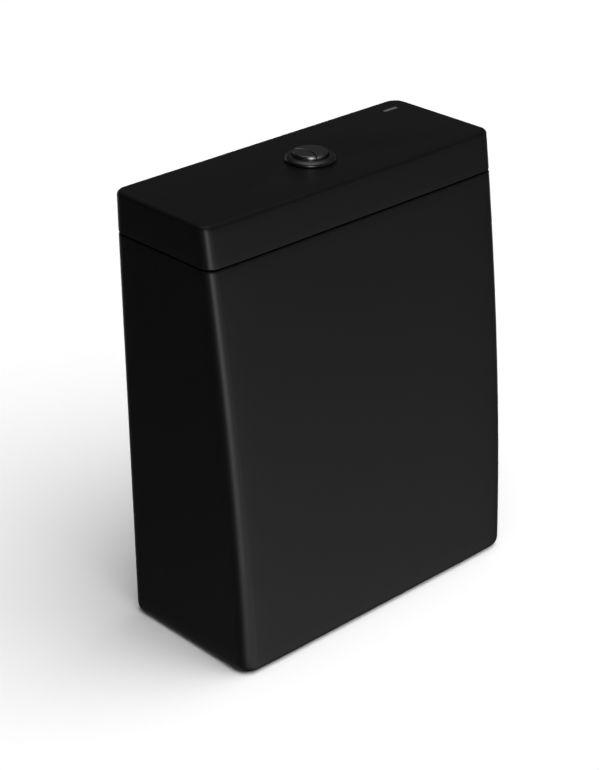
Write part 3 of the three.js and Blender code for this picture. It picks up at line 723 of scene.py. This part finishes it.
def build_lid():
    SEAM_EDGE, TOP_EDGE, LIP_EDGE, POCKET_EDGE = 1.4, 4, 1.2, 8
    foot, pocket_top = LIP_FOOT_Z, HEIGHT - LID_ROOF
    shell = china_body(LID_FOOT_Z, HEIGHT, 0, lower=SEAM_EDGE, upper=TOP_EDGE, pitch=8)
    lip = china_body(foot, LID_FOOT_Z + 4, LIP_INSET, lower=LIP_EDGE, pitch=6)
    rows = [(foot - 1, -1.4), (foot, -1.4), (foot + 0.4, -0.6), (foot + 1.4, 0)]
    rows += [(foot + 14, 0), (pocket_top - POCKET_EDGE, 0)]
    rows += arc_rows(pocket_top, POCKET_EDGE, -1)
    pocket = skin([outline(z, LID_WALL + pull) for z, pull in rows])
    hole = flared_hole(BUTTON_HOLE, pocket_top, HEIGHT, VALVE_X, VALVE_Y, sides=96)
    whole = cut(join(shell, lip), pocket, hole)
    mesh = piece("cistern_lid", whole, lid_china, sharp=50).data
    mesh.materials.append(inner_china.material)
    for face in mesh.polygons:
        x, y, z = face.center / MM
        if depth_inside(x, y, z) > LID_WALL - 1.5 and z < pocket_top + 0.5:
            face.material_index = INSIDE_GLAZE


def build_lid_pads():
    for node in BODY:
        if node.startswith("lid_pad"):
            low, high = box_of(node)
            x, y, _ = centre(node)
            piece(node, rod((high.x - low.x) / 2, low.z, high.z, x, y, edge=0.35))


build_tank()
build_lid()
build_lid_pads()

# ---- dual flush button

BUTTON_RADIUS = 15.9
BUTTON_TOP = HEIGHT + 8.2
BUTTON_UNDERSIDE = HEIGHT - 4
SEAM_CENTRE = -23
SEAM_RADIUS = 22
SEAM_GAP = 0.7
CUP_RADIUS = 18.8
CUP_BORE = 16.7
CUP_FLOOR = HEIGHT - 29
CUP_UNDERSIDE = HEIGHT - 32
LID_NUT_BORE = CUP_RADIUS + LOOSE
ROD_X = 8
ROD_RADIUS = 2.8
SIDES = {"half": -1, "full": 1}


def button_outline(side, pull, z):
    """One button from above, pulled in all round: an arc of the disc, then one of the seam."""
    OUTER_STEPS = 72
    SEAM_STEPS = 36
    disc = BUTTON_RADIUS - pull
    seam = SEAM_RADIUS + side * (SEAM_GAP / 2 + pull)
    x = (seam**2 - disc**2 - SEAM_CENTRE**2) / (-2 * SEAM_CENTRE)
    y = math.sqrt(disc**2 - x**2)
    rim = math.atan2(y, x)
    along = math.asin(y / seam)
    first, last = (-rim, rim) if side > 0 else (rim, 2 * math.pi - rim)
    points = []
    for k in range(OUTER_STEPS):
        angle = first + (last - first) * k / OUTER_STEPS
        points.append((disc * math.cos(angle), disc * math.sin(angle)))
    for k in range(SEAM_STEPS):
        angle = side * (along - 2 * along * k / SEAM_STEPS)
        points.append((SEAM_CENTRE + seam * math.cos(angle), seam * math.sin(angle)))
    return [Vector((px, VALVE_Y + py, z)) for px, py in points]


def build_button(name, side):
    EDGE = 1.2
    DISH = ((0, 1.7), (0.08, 2.6), (0.22, 4.0), (0.3, 5.4))  # how deep, and how far in
    SOCKET_FOOT = HEIGHT - 16
    rows = [(BUTTON_UNDERSIDE, 0.5), (BUTTON_UNDERSIDE + 0.5, 0.0), (BUTTON_TOP - 4, 0.0)]
    rows += arc_rows(BUTTON_TOP, EDGE, -1, steps=6)
    rows += [(BUTTON_TOP - deep, pull) for deep, pull in DISH]
    cap = skin([button_outline(side, pull, z) for z, pull in rows])
    x = side * ROD_X
    socket = rod(4.5, SOCKET_FOOT, BUTTON_UNDERSIDE + 1, x, VALVE_Y)
    bore = rod(ROD_RADIUS + LOOSE, SOCKET_FOOT - 1, HEIGHT - 5.5, x, VALVE_Y, edge=0)
    # The caps use the chrome copy with the lighter base colour, a painted highlight.
    piece(f"{name}_flush_button", cut(join(cap, socket), bore), cap_chrome_painted_lighter, sharp=30)


def coil(x, y, z0, z1):
    """A compression spring with closed ends."""
    RADIUS = 6
    WIRE = 0.5
    TURNS = 8
    CLOSED = 0.9  # turns that lie flat at each end
    PER_TURN = 28
    AROUND = 8
    up = Vector((0, 0, 1))
    count = TURNS * PER_TURN
    rows = []
    for i in range(count + 1):
        turns = i / count * TURNS
        lift = min(max((turns - CLOSED) / (TURNS - 2 * CLOSED), 0.0), 1.0)
        z = z0 + WIRE + (z1 - z0 - 2 * WIRE) * lift
        angle = 2 * math.pi * turns
        outwards = Vector((math.cos(angle), math.sin(angle), 0))
        middle = Vector((x, y, z)) + outwards * RADIUS
        around = [2 * math.pi * k / AROUND for k in range(AROUND)]
        rows.append([
            middle + outwards * WIRE * math.cos(a) + up * WIRE * math.sin(a) for a in around
        ])
    return skin(rows)


def ribbed_nut(bore, radius, z0, z1, x=0.0, y=0.0):
    RIBS, RIB_HEIGHT = 8, 3
    body = ring(bore, radius, z0, z1, edge=0.8)
    ribs = in_circle(
        lambda: brick(radius - 2, radius + RIB_HEIGHT, -2.2, 2.2, z0, z1 - 1, 0.8, segments=3),
        RIBS,
    )
    return moved(join(body, *ribs), x, y)


def build_bezel():
    bezel = [(CUP_BORE, 2), (21.9, 2), (21.9, 0.4), (23.5, 0.4), (23.5, 1.8), (22.7, 3.2),
             (20.8, 4.6), (18.6, 5.2), (17.3, 5), (CUP_BORE, 4.4)]
    raised = [(r, HEIGHT + z) for r, z in bezel]
    piece("button_bezel", turned(raised, VALVE_X, VALVE_Y, 128, edge=0.9), sharp=50)


def build_button_housing():
    cup = turned(
        [(0, CUP_UNDERSIDE), (CUP_RADIUS, CUP_UNDERSIDE), (CUP_RADIUS, HEIGHT + 0.3),
         (21.5, HEIGHT + 0.3), (21.5, HEIGHT + 1.7), (CUP_BORE, HEIGHT + 1.7),
         (CUP_BORE, CUP_FLOOR), (0, CUP_FLOOR)],
        VALVE_X, VALVE_Y, 96, edge=0.3,
        screw=(CUP_RADIUS, CUP_UNDERSIDE + 0.6, HEIGHT - 2, 3, 1.0),
    )
    low, high = CUP_UNDERSIDE - 1, CUP_FLOOR + 1
    guides = [rod(3.4, low, high, x, VALVE_Y, edge=0) for x in (-ROD_X, ROD_X)]
    drains = [brick(-3, 3, VALVE_Y + y - 2, VALVE_Y + y + 2, low, high, edge=0) for y in (-11, 11)]
    piece("button_housing", cut(cup, *guides, *drains))


def build_button_spring(name):
    x, y, _ = centre(f"{name}_button_spring")
    z0, z1 = heights(f"{name}_button_spring")
    spring = piece(f"{name}_button_spring", coil(x, y, z0, z1))
    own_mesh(spring)


def build_flush_rod(name):
    x, y, _ = centre(f"{name}_flush_rod")
    z0, z1 = heights(f"{name}_flush_rod")
    threaded = turned(
        [(0, z0), (ROD_RADIUS, z0), (ROD_RADIUS, z1), (0, z1)], x, y, 32, edge=0.5,
        screw=(ROD_RADIUS, z0 + 1, z0 + 30, 1.6, 0.35),
    )
    piece(f"{name}_flush_rod", threaded)


build_bezel()
build_button_housing()
washer("button_gasket", LID_NUT_BORE, 26, edge=0.5)
piece("button_nut", ribbed_nut(LID_NUT_BORE, 25, *heights("button_nut"), VALVE_X, VALVE_Y))
for name, side in SIDES.items():
    build_button(name, side)
    build_button_spring(name)
    build_flush_rod(name)

# ---- flush valve

TAIL_RADIUS = 24
CAGE_RADIUS = 34.4
CAGE_BORE = 32
CAGE_FOOT, CAGE_TOP = heights("valve_cage")
TOP_BORE = 15.2
OVERFLOW_RADIUS = 14
SPINDLE_BORE = OVERFLOW_RADIUS + LOOSE
PIVOT_X, _, ROCKER_Z = centre("full_rocker_pin")
HOUSING_TOP = 340
HOUSING_SIDE = 16.7
HEIGHT_PIN_Z = 326
HEIGHT_PIN_HOLE = 2.3
ROCKER_PIN_HOLE = 2.4
HOOK_Z = ROCKER_Z + 2.6  # underside of the hooks that the rockers' outer ends lift
HOOK_OUT, HOOK_WEB, HOOK_TIP = 44, 40.5, 36.5


def at_valve(bm):
    return moved(bm, VALVE_X, VALVE_Y)


def build_outlet():
    tail = [(20, 6), (TAIL_RADIUS, 6), (TAIL_RADIUS, 48.6), (38, 48.6), (38, 53), (26, 53),
            (24.5, 58), (20, 58)]
    thread = (TAIL_RADIUS, 7, 44, 2.3, 1.0)
    piece("outlet_base", at_valve(turned(tail, sides=96, edge=0.7, screw=thread)))
    washer("outlet_gasket", 24.6, 36.5, edge=0.8, sides=96)
    nut = ribbed_nut(TAIL_RADIUS + LOOSE, 33, *heights("outlet_back_nut"))
    piece("outlet_back_nut", at_valve(nut))


def build_doughnut():
    doughnut = [(24.7, 1), (37, 1), (43, 8), (43, 30), (37.3, 30), (37.3, 20.2), (24.7, 20.2)]
    piece("doughnut_washer", at_valve(turned(doughnut, sides=96, edge=2.2)))


def build_cage():
    WINDOWS = 6
    HOOP = 0.9
    profile = [(CAGE_BORE, CAGE_FOOT), (36.5, CAGE_FOOT), (36.5, 58), (CAGE_RADIUS, 60)]
    for z in (101, 196):
        profile += [(CAGE_RADIUS, z), (CAGE_RADIUS + HOOP, z + 1),
                    (CAGE_RADIUS + HOOP, z + 4), (CAGE_RADIUS, z + 5)]
    profile += [(CAGE_RADIUS, CAGE_TOP), (TOP_BORE, CAGE_TOP), (TOP_BORE, CAGE_TOP - 3),
                (CAGE_BORE, CAGE_TOP - 3)]
    shell = turned(profile, sides=120, edge=0.5)
    windows = in_circle(
        lambda: brick(CAGE_BORE - 6, CAGE_RADIUS + 3, -10, 10, 61, 97, edge=3, segments=4),
        WINDOWS, offset=0.5,
    )
    rail = brick(-CAGE_RADIUS - 6.6, -CAGE_RADIUS + 1.4, -3, 3, 108, 163, edge=0.6)
    piece("valve_cage", at_valve(cut(join(shell, rail), *windows)))


def build_mast():
    SETTINGS = 4
    PITCH = 12
    foot = CAGE_TOP + LOOSE
    plate_top = foot + 4.4
    plate = ring(TOP_BORE, 40, foot, plate_top, edge=0.8, sides=96)
    rails, grooves = [], []
    for side in (-1, 1):
        y0, y1 = sorted((side * 17, side * 22))
        rails.append(brick(-7, 7, y0, y1, foot + 0.2, HOUSING_TOP - 4, edge=0.8))
        y0, y1 = sorted((side * 21.4, side * 23))
        grooves.append(brick(-3.4, 3.4, y0, y1, foot + 8, 280, edge=0.5))
    guide = brick(-48, -36, -7, 7, foot, plate_top, edge=0.6)
    slot = brick(-44.6, -39.9, -3.6, 3.6, foot - 1, plate_top + 1, edge=0)
    holes = [lying_rod(HEIGHT_PIN_HOLE, -23, 23, 0, HEIGHT_PIN_Z - PITCH * step, edge=0)
             for step in range(SETTINGS)]
    piece("valve_mast", at_valve(cut(join(plate, guide, *rails), slot, *holes, *grooves)))


def build_rocker_housing():
    top, side_y = HOUSING_TOP, HOUSING_SIDE
    body = brick(-30, 30, -side_y, side_y, 318, top, edge=1.2, segments=3)
    hollow = brick(-31, 31, -14.2, 14.2, 310, top - 3, edge=1.0, segments=3)
    collars = [rod(6.8, top - 1, top + 4, x, 0, edge=0.6) for x in (-ROD_X, ROD_X)]
    bores = [rod(4.9, top - 4, top + 5, x, 0, edge=0) for x in (-ROD_X, ROD_X)]
    pivots = [lying_rod(ROCKER_PIN_HOLE, -18, 18, x, ROCKER_Z, edge=0) for x in (-PIVOT_X, PIVOT_X)]
    pin_hole = lying_rod(HEIGHT_PIN_HOLE, -18, 18, 0, HEIGHT_PIN_Z, edge=0)
    ribs = [brick(x - 0.9, x + 0.9, 0.2 - side_y, side_y - 0.2, top - 0.5, top + 1.2, edge=0.4)
            for x in (-24, 24)]
    whole = cut(join(body, *collars, *ribs), hollow, *bores, *pivots, pin_hole)
    piece("rocker_housing", at_valve(whole))


def build_pins():
    for name, side in SIDES.items():
        stem = lying_rod(2.1, -17.5, 17.5, side * PIVOT_X, ROCKER_Z, edge=0.5)
        head = lying_rod(3.4, 17.2, 18.9, side * PIVOT_X, ROCKER_Z, edge=0.5)
        piece(f"{name}_rocker_pin", at_valve(join(stem, head)))
    for name, way in (("height_pin_back", 1), ("height_pin_front", -1)):
        stem = lying_rod(2, *sorted((way * 13.2, way * 23)), 0, HEIGHT_PIN_Z, edge=0.4)
        head = lying_rod(4, *sorted((way * 22.3, way * 24.4)), 0, HEIGHT_PIN_Z, edge=0.6)
        piece(name, at_valve(join(stem, head)))


def rocker_outline():
    """A bar with a round hub at the origin, from x = -INNER to x = OUTER, as (x, z) points."""
    INNER, OUTER, HALF, HUB, STEPS = 17, 18, 2.2, 5, 14
    flank = math.asin(HALF / HUB)
    upper = [flank + (math.pi - 2 * flank) * k / STEPS for k in range(STEPS + 1)]
    return [
        (-INNER, -HALF),
        *[(HUB * math.cos(math.pi + angle), HUB * math.sin(math.pi + angle)) for angle in upper],
        (OUTER, -HALF),
        (OUTER, HALF),
        *[(HUB * math.cos(angle), HUB * math.sin(angle)) for angle in upper],
        (-INNER, HALF),
    ]


def build_rocker(name, side):
    rows = [[Vector((side * x, y, z)) for x, z in rocker_outline()] for y in (-4, 4)]
    bar = cut(skin(rows), lying_rod(ROCKER_PIN_HOLE, -6, 6, 0, 0, edge=0))
    lever = sharp_edges_bevelled(bar, 0.45)
    piece(f"{name}_rocker", moved(lever, VALVE_X + side * PIVOT_X, VALVE_Y, ROCKER_Z))


def build_plunger(name, side):
    nose, top = heights(f"{name}_plunger")
    profile = [(0, nose), (1.6, nose), (4.5, nose + 4), (4.5, top - 3), (6.5, top - 3),
               (6.5, top), (0, top)]
    plunger = turned(profile, sides=48, edge=0.5)
    piece(f"{name}_plunger", moved(plunger, VALVE_X + side * ROD_X, VALVE_Y))


def float_cup(bore, radius, z0, z1, wall, bands):
    """An upside-down cup round a tube, with shallow grooves at the heights in bands."""
    GROOVE = 0.5
    roof = z1 - wall - 1
    profile = [(bore, z0), (bore + wall, z0), (bore + wall, roof), (radius - wall, roof),
               (radius - wall, z0), (radius, z0)]
    for z in bands:
        profile += [(radius, z), (radius - GROOVE, z + 0.6), (radius - GROOVE, z + 1.8),
                    (radius, z + 2.4)]
    profile += [(radius, z1), (bore, z1)]
    return turned(profile, sides=96, edge=0.5)


def build_overflow_tube():
    MARKS = range(200, 281, 10)
    MARK_DEPTH = 0.25
    radius = OVERFLOW_RADIUS
    profile = [(12, 52), (radius, 52)]
    for z in MARKS:
        profile += [(radius, z), (radius - MARK_DEPTH, z + 0.2),
                    (radius - MARK_DEPTH, z + 0.8), (radius, z + 1)]
    profile += [(radius, 297), (15.4, 300), (13, 300), (12, 297)]
    piece("overflow_tube", at_valve(turned(profile, edge=0.15)), sharp=30)


def build_seal_and_float():
    washer("valve_seal", SPINDLE_BORE, 26, edge=0.7, sides=96)
    foot, _ = heights("seal_carrier")
    carrier = [(SPINDLE_BORE, foot), (24.5, foot), (24.5, foot + 2.4), (18, foot + 5),
               (17, foot + 13), (SPINDLE_BORE, foot + 13)]
    piece("seal_carrier", at_valve(turned(carrier, sides=96, edge=0.6)))
    cup = float_cup(SPINDLE_BORE, 30, *heights("full_flush_float"), 2, bands=(160, 176))
    piece("full_flush_float", at_valve(cup))


def build_lift_yoke():
    z0, z1 = heights("lift_yoke")
    collar = ring(SPINDLE_BORE, 16.5, z0, z0 + 12, edge=0.5)
    arm = brick(15.4, HOOK_OUT, -4, 4, z0, z0 + 5, edge=0.6)
    web = brick(HOOK_WEB, HOOK_OUT, -4, 4, z0, z1, edge=0.6)
    hook = brick(HOOK_TIP, HOOK_OUT, -4, 4, HOOK_Z, z1, edge=0.6)
    piece("lift_yoke", at_valve(join(collar, arm, web, hook)))


def build_half_float():
    z0, z1 = heights("half_flush_float")
    inner = box_of("half_flush_float")[1].x
    body = brick(inner - 25, inner, -14, 14, z0, z1, edge=2, segments=4)
    groove = brick(-CAGE_RADIUS - 7.2, inner + 1, -3.6, 3.6, z0 - 1, z1 + 1, edge=0)
    air = brick(inner - 23, inner - 6.6, -12, 12, z0 - 6, z1 - 3, edge=1.5, segments=3)
    piece("half_flush_float", at_valve(cut(body, groove, air)))


def build_half_link():
    z0, z1 = heights("half_flush_link")
    bar = brick(-HOOK_OUT, -HOOK_WEB, -3, 3, z0, z1, edge=0.6)
    hook = brick(-HOOK_OUT, -HOOK_TIP, -3, 3, HOOK_Z, z1, edge=0.6)
    plate = brick(-58, -HOOK_WEB, -8, 8, z0, z0 + 3, edge=0.6)
    piece("half_flush_link", at_valve(join(bar, hook, plate)))


build_outlet()
build_doughnut()
build_cage()
build_mast()
build_rocker_housing()
build_pins()
for name, side in SIDES.items():
    build_rocker(name, side)
    build_plunger(name, side)
build_overflow_tube()
build_seal_and_float()
build_lift_yoke()
build_half_float()
build_half_link()

# ---- fill valve

SHANK_RADIUS = 10.3
SHANK_THREAD_TOP = 44
SLEEVE_BORE, SLEEVE_RADIUS = 9.9, 12.5
LOCK_RING_RADIUS = 16.5
HEAD_RADIUS = 22
CAP_Z = 272
CAP_RADIUS = 23.5
CAP_EDGE_Z = 281.5
SILENCER_Y = -34
LEVER_PIVOT_X = 8
LEVER_Z = 292
LEVER_PIN = 1.6
SCREW_X = 34


def at_inlet(bm):
    return moved(bm, -INLET_X, VALVE_Y)


def hex_nut(z0, z1):
    """A moulded hexagon, 30 mm across its flats, with a round washer face on top."""
    corner = 15 / math.cos(math.pi / 6)
    angles = [2 * math.pi * k / 6 for k in range(6)]
    rows = []
    for z, share in ((z0, 0.93), (z0 + 1.2, 1.0), (z0 + 9.5, 1.0)):
        radius = corner * share
        rows.append([Vector((radius * math.cos(a), radius * math.sin(a), z)) for a in angles])
    collar = rod(18.2, z0 + 9, z1, edge=0.6, sides=64)
    bore = rod(SHANK_RADIUS + LOOSE, z0 - 1, z1 + 1, edge=0, sides=64)
    return cut(join(skin(rows), collar), bore)


def shank(profile, thread_foot):
    screw = (SHANK_RADIUS, thread_foot, SHANK_THREAD_TOP, 1.8, 0.8)
    return turned(profile, sides=64, edge=0.5, screw=screw)


def build_inlet():
    stem = [(6.5, 4), (SHANK_RADIUS, 4), (SHANK_RADIUS, 48.6), (17, 48.6), (17, 52), (9.5, 54),
            (9.5, 170), (7, 170), (7, 54), (6.5, 50)]
    piece("inlet_stem", at_inlet(shank(stem, 5)))
    washer("inlet_washer", 10.8, 16.5, edge=0.6)


def build_inlet_filter():
    strainer = [(0, 22.8), (4.7, 22.8), (4.7, 5), (6.1, 5), (6.1, 8), (5.7, 8), (5.7, 24), (0, 24)]
    piece("inlet_filter", at_inlet(turned(strainer, sides=48, edge=0.2)))


def build_blanking_plug():
    plug = [(0, 18), (SHANK_RADIUS, 18), (SHANK_RADIUS, 45.3), (17, 45.3), (17, 49), (15, 50.5),
            (0, 50.5)]
    slot = brick(-9, 9, -1.5, 1.5, 49, 52, edge=0.4)
    piece("blanking_plug", moved(cut(shank(plug, 19), slot), INLET_X, VALVE_Y))


def grip_cutters(count, radius, at, z0, z1):
    """Thin upright rods round a rim, for the grooves that give it grip."""
    return in_circle(lambda: rod(radius, z0, z1, at, 0, edge=0, sides=12), count)


def build_riser_sleeve():
    GROOVE = 0.5
    z0, z1 = heights("riser_sleeve")
    profile = [(SLEEVE_BORE, z0), (SLEEVE_RADIUS, z0)]
    for z in (216, 220, 224):
        profile += [(SLEEVE_RADIUS, z), (SLEEVE_RADIUS - GROOVE, z + 0.4),
                    (SLEEVE_RADIUS - GROOVE, z + 1.6), (SLEEVE_RADIUS, z + 2)]
    profile += [(SLEEVE_RADIUS, z1), (SLEEVE_BORE, z1)]
    piece("riser_sleeve", at_inlet(turned(profile, edge=0.2)), sharp=30)


def build_lock_ring():
    z0, z1 = heights("riser_lock_ring")
    grips = grip_cutters(18, 0.9, LOCK_RING_RADIUS, z0 - 1, z1 + 1)
    body = ring(SLEEVE_BORE, LOCK_RING_RADIUS, z0, z1, edge=0.8)
    piece("riser_lock_ring", at_inlet(cut(body, *grips)))


def build_fill_head():
    z0 = heights("riser_sleeve")[1] + LOOSE
    body = turned(
        [(0, 262), (6, 262), (6, z0), (14, z0), (HEAD_RADIUS, 244), (HEAD_RADIUS, CAP_Z),
         (0, CAP_Z)],
        sides=96, edge=0.7,
    )
    spout = brick(-7, 7, SILENCER_Y - 7, -15, 246, 258, edge=1.5, segments=3)
    nozzle = rod(5, 234, 247, 0, SILENCER_Y, edge=0.5)
    bore = rod(3.6, 233, 252, 0, SILENCER_Y, edge=0)
    piece("fill_valve_head", at_inlet(cut(join(body, spout, nozzle), bore)))


def build_fill_cap():
    foot = CAP_Z + LOOSE
    disc = turned(
        [(0, foot), (CAP_RADIUS, foot), (CAP_RADIUS, CAP_EDGE_Z), (22, 283), (3, 283),
         (2.4, 284.5), (0, 284.5)],
        sides=96, edge=0.5,
    )
    grips = grip_cutters(24, 1.0, CAP_RADIUS + 0.2, foot - 1, CAP_EDGE_Z)
    ears = []
    for side in (-1, 1):
        y0, y1 = sorted((side * 5.2, side * 8.2))
        x0, x1 = LEVER_PIVOT_X - 4.5, LEVER_PIVOT_X + 4.5
        ears.append(brick(x0, x1, y0, y1, 282, LEVER_Z + 4.5, edge=0.8))
    hole = lying_rod(LEVER_PIN + LOOSE, -12, 12, LEVER_PIVOT_X, LEVER_Z, edge=0)
    piece("fill_valve_cap", at_inlet(cut(join(disc, *ears), hole, *grips)))
    piece("lever_pin", at_inlet(lying_rod(LEVER_PIN, -9, 9, LEVER_PIVOT_X, LEVER_Z, edge=0.4)))


def build_float_lever():
    bar = brick(-12, 19, -4.7, 4.7, -2.3, 2.3, edge=0.6)
    pad = brick(-11, -5, -3, 3, -2.6, -1.9, edge=0.2)
    fork = brick(18, 32, -8, 8, -1.25, 1.25, edge=0.5)
    slot = brick(22, 36, -3, 3, -2, 2, edge=0)
    lightening = brick(1, 15, -2.6, 2.6, 1.2, 3, edge=0.4)
    hole = lying_rod(LEVER_PIN + LOOSE, -12, 12, 0, 0, edge=0)
    whole = cut(join(bar, pad, fork), slot, hole, lightening)
    piece("float_lever", moved(whole, LEVER_PIVOT_X - INLET_X, VALVE_Y, LEVER_Z))


def build_fill_float():
    z0, z1 = heights("float_cup")
    cup = float_cup(14, 25, z0, z1, 1.6, bands=(168, 184))
    ear = brick(24, SCREW_X + 6, -6, 6, z1 - 6, z1, edge=1)
    hole = rod(2.8, z1 - 8, z1 + 1, SCREW_X, 0, edge=0)
    piece("float_cup", at_inlet(cut(join(cup, ear), hole)))


def build_adjuster_screw():
    STEM, COLLAR, KNOB = 2.5, 4.5, 6.5
    CLEAR = 3.6  # from the lever's axis to each of the screw's two collars
    z0, z1 = heights("adjuster_screw")
    low, high = LEVER_Z - CLEAR, LEVER_Z + CLEAR
    knob = z1 - 6
    profile = [(0, z0), (STEM, z0), (STEM, low - 2), (COLLAR, low - 2), (COLLAR, low),
               (STEM, low), (STEM, high), (COLLAR, high), (COLLAR, high + 2), (STEM, high + 2),
               (STEM, knob), (KNOB, knob), (KNOB, z1), (0, z1)]
    body = turned(profile, sides=40, edge=0.35, screw=(STEM, z0 + 1, 280, 1.6, 0.4))
    driver = brick(-5, 5, -0.8, 0.8, z1 - 1.6, z1 + 1, edge=0)
    piece("adjuster_screw", moved(cut(body, driver), SCREW_X - INLET_X, VALVE_Y))


def build_silencer():
    z0, z1 = heights("silencer_tube")
    profile = [(5.4, z0), (7, z0), (7, z1 - 8), (7.4, z1 - 7), (7.4, z1 - 1), (7, z1), (5.4, z1)]
    piece("silencer_tube", at_inlet(moved(turned(profile, edge=0.3, sides=48), 0, SILENCER_Y)))


build_inlet()
for node, x in (("inlet_back_nut", -INLET_X), ("plug_nut", INLET_X)):
    piece(node, moved(hex_nut(*heights(node)), x, VALVE_Y))
build_inlet_filter()
build_blanking_plug()
build_riser_sleeve()
build_lock_ring()
build_fill_head()
build_fill_cap()
build_float_lever()
build_fill_float()
build_adjuster_screw()
build_silencer()

# ---- floor and light

FLOOR_HALF = 12


def build_floor():
    bm = bmesh.new()
    bmesh.ops.create_grid(bm, x_segments=1, y_segments=1, size=FLOOR_HALF)
    floor = object_of(bm, "floor")
    m = Nodes("pale_floor")
    m.set(Base_Color=rgb(0.86, 0.86, 0.86), Roughness=0.9, Specular_IOR_Level=0.1)
    floor.data.materials.append(m.material)
    floor.visible_glossy = False


def build_backdrop():
    """A white dome round everything. It is only seen directly: it lights nothing."""
    bm = bmesh.new()
    bmesh.ops.create_uvsphere(bm, u_segments=64, v_segments=32, radius=FLOOR_HALF - 0.1)
    backdrop = object_of(bm, "backdrop")
    m = Nodes("plain_backdrop")
    m.set(Base_Color=rgb(0, 0, 0), Emission_Color=rgb(1, 1, 1), Emission_Strength=1.0)
    backdrop.data.materials.append(m.material)
    backdrop.visible_diffuse = False
    backdrop.visible_glossy = False
    backdrop.visible_transmission = False
    backdrop.visible_shadow = False


def soft_sun(name, towards, spread, strength):
    """A broad light from above, so soft that shadows fade within the object's own size."""
    data = bpy.data.lights.new(name, "SUN")
    data.energy = strength
    data.angle = math.radians(spread)
    light = bpy.data.objects.new(name, data)
    bpy.context.scene.collection.objects.link(light)
    light.rotation_euler = Vector(towards).to_track_quat("Z", "Y").to_euler()
    light.visible_glossy = False


BASE_GLOW = 0.014
# The soft glows in the surround: direction from the object, sharpness and brightness.
GLOWS = (
    ((-0.60, -0.77, -0.22), 30, 2.45),
    ((-0.60, -0.66, 0.30), 40, 1.7),
    ((-0.15, -0.87, -0.46), 8, 0.42),
    ((0.25, -0.72, -0.65), 7, 0.57),
    ((0.65, -0.5, 0.35), 4, 0.045),
    ((0.6, 0.65, 0.45), 3, 0.034),
    ((-0.5, 0.45, -1.1), 20, 0.34),
    ((-1.0, -0.15, -0.2), 24, 0.12),
    ((0.1, 1.0, -0.22), 22, 0.4),
    ((1.0, 0.2, -0.3), 24, 0.25),
    ((0.0, 0.0, 1.0), 8, 0.4),
)


def studio_world():
    """A dim studio surround, brighter low down in front, as a pale sweep shows in a glaze."""
    world = bpy.data.worlds.new("studio")
    bpy.context.scene.world = world
    world.use_nodes = True
    tree = world.node_tree
    background = tree.nodes["Background"]
    direction = tree.nodes.new("ShaderNodeTexCoord").outputs["Generated"]

    def math_node(operation, first, second=0.0):
        node = tree.nodes.new("ShaderNodeMath")
        node.operation = operation
        for socket, value in zip(node.inputs, (first, second)):
            if isinstance(value, bpy.types.NodeSocket):
                tree.links.new(value, socket)
            else:
                socket.default_value = value
        return node.outputs[0]

    def glow(towards, sharpness, brightness):
        """Falls off smoothly round one direction."""
        dot = tree.nodes.new("ShaderNodeVectorMath")
        dot.operation = "DOT_PRODUCT"
        tree.links.new(direction, dot.inputs[0])
        dot.inputs[1].default_value = Vector(towards).normalized()
        facing = math_node("MAXIMUM", dot.outputs["Value"], 0.0)
        return math_node("MULTIPLY", math_node("POWER", facing, sharpness), brightness)

    total = BASE_GLOW
    for towards, sharpness, brightness in GLOWS:
        total = math_node("ADD", glow(towards, sharpness, brightness), total)
    tree.links.new(total, background.inputs["Strength"])
    background.inputs["Color"].default_value = rgb(1, 1, 1)


build_floor()
build_backdrop()
soft_sun("overhead", (0.15, -0.4, 0.88), 75, 3.75)
studio_world()
bpy.context.scene.view_settings.view_transform = "Standard"
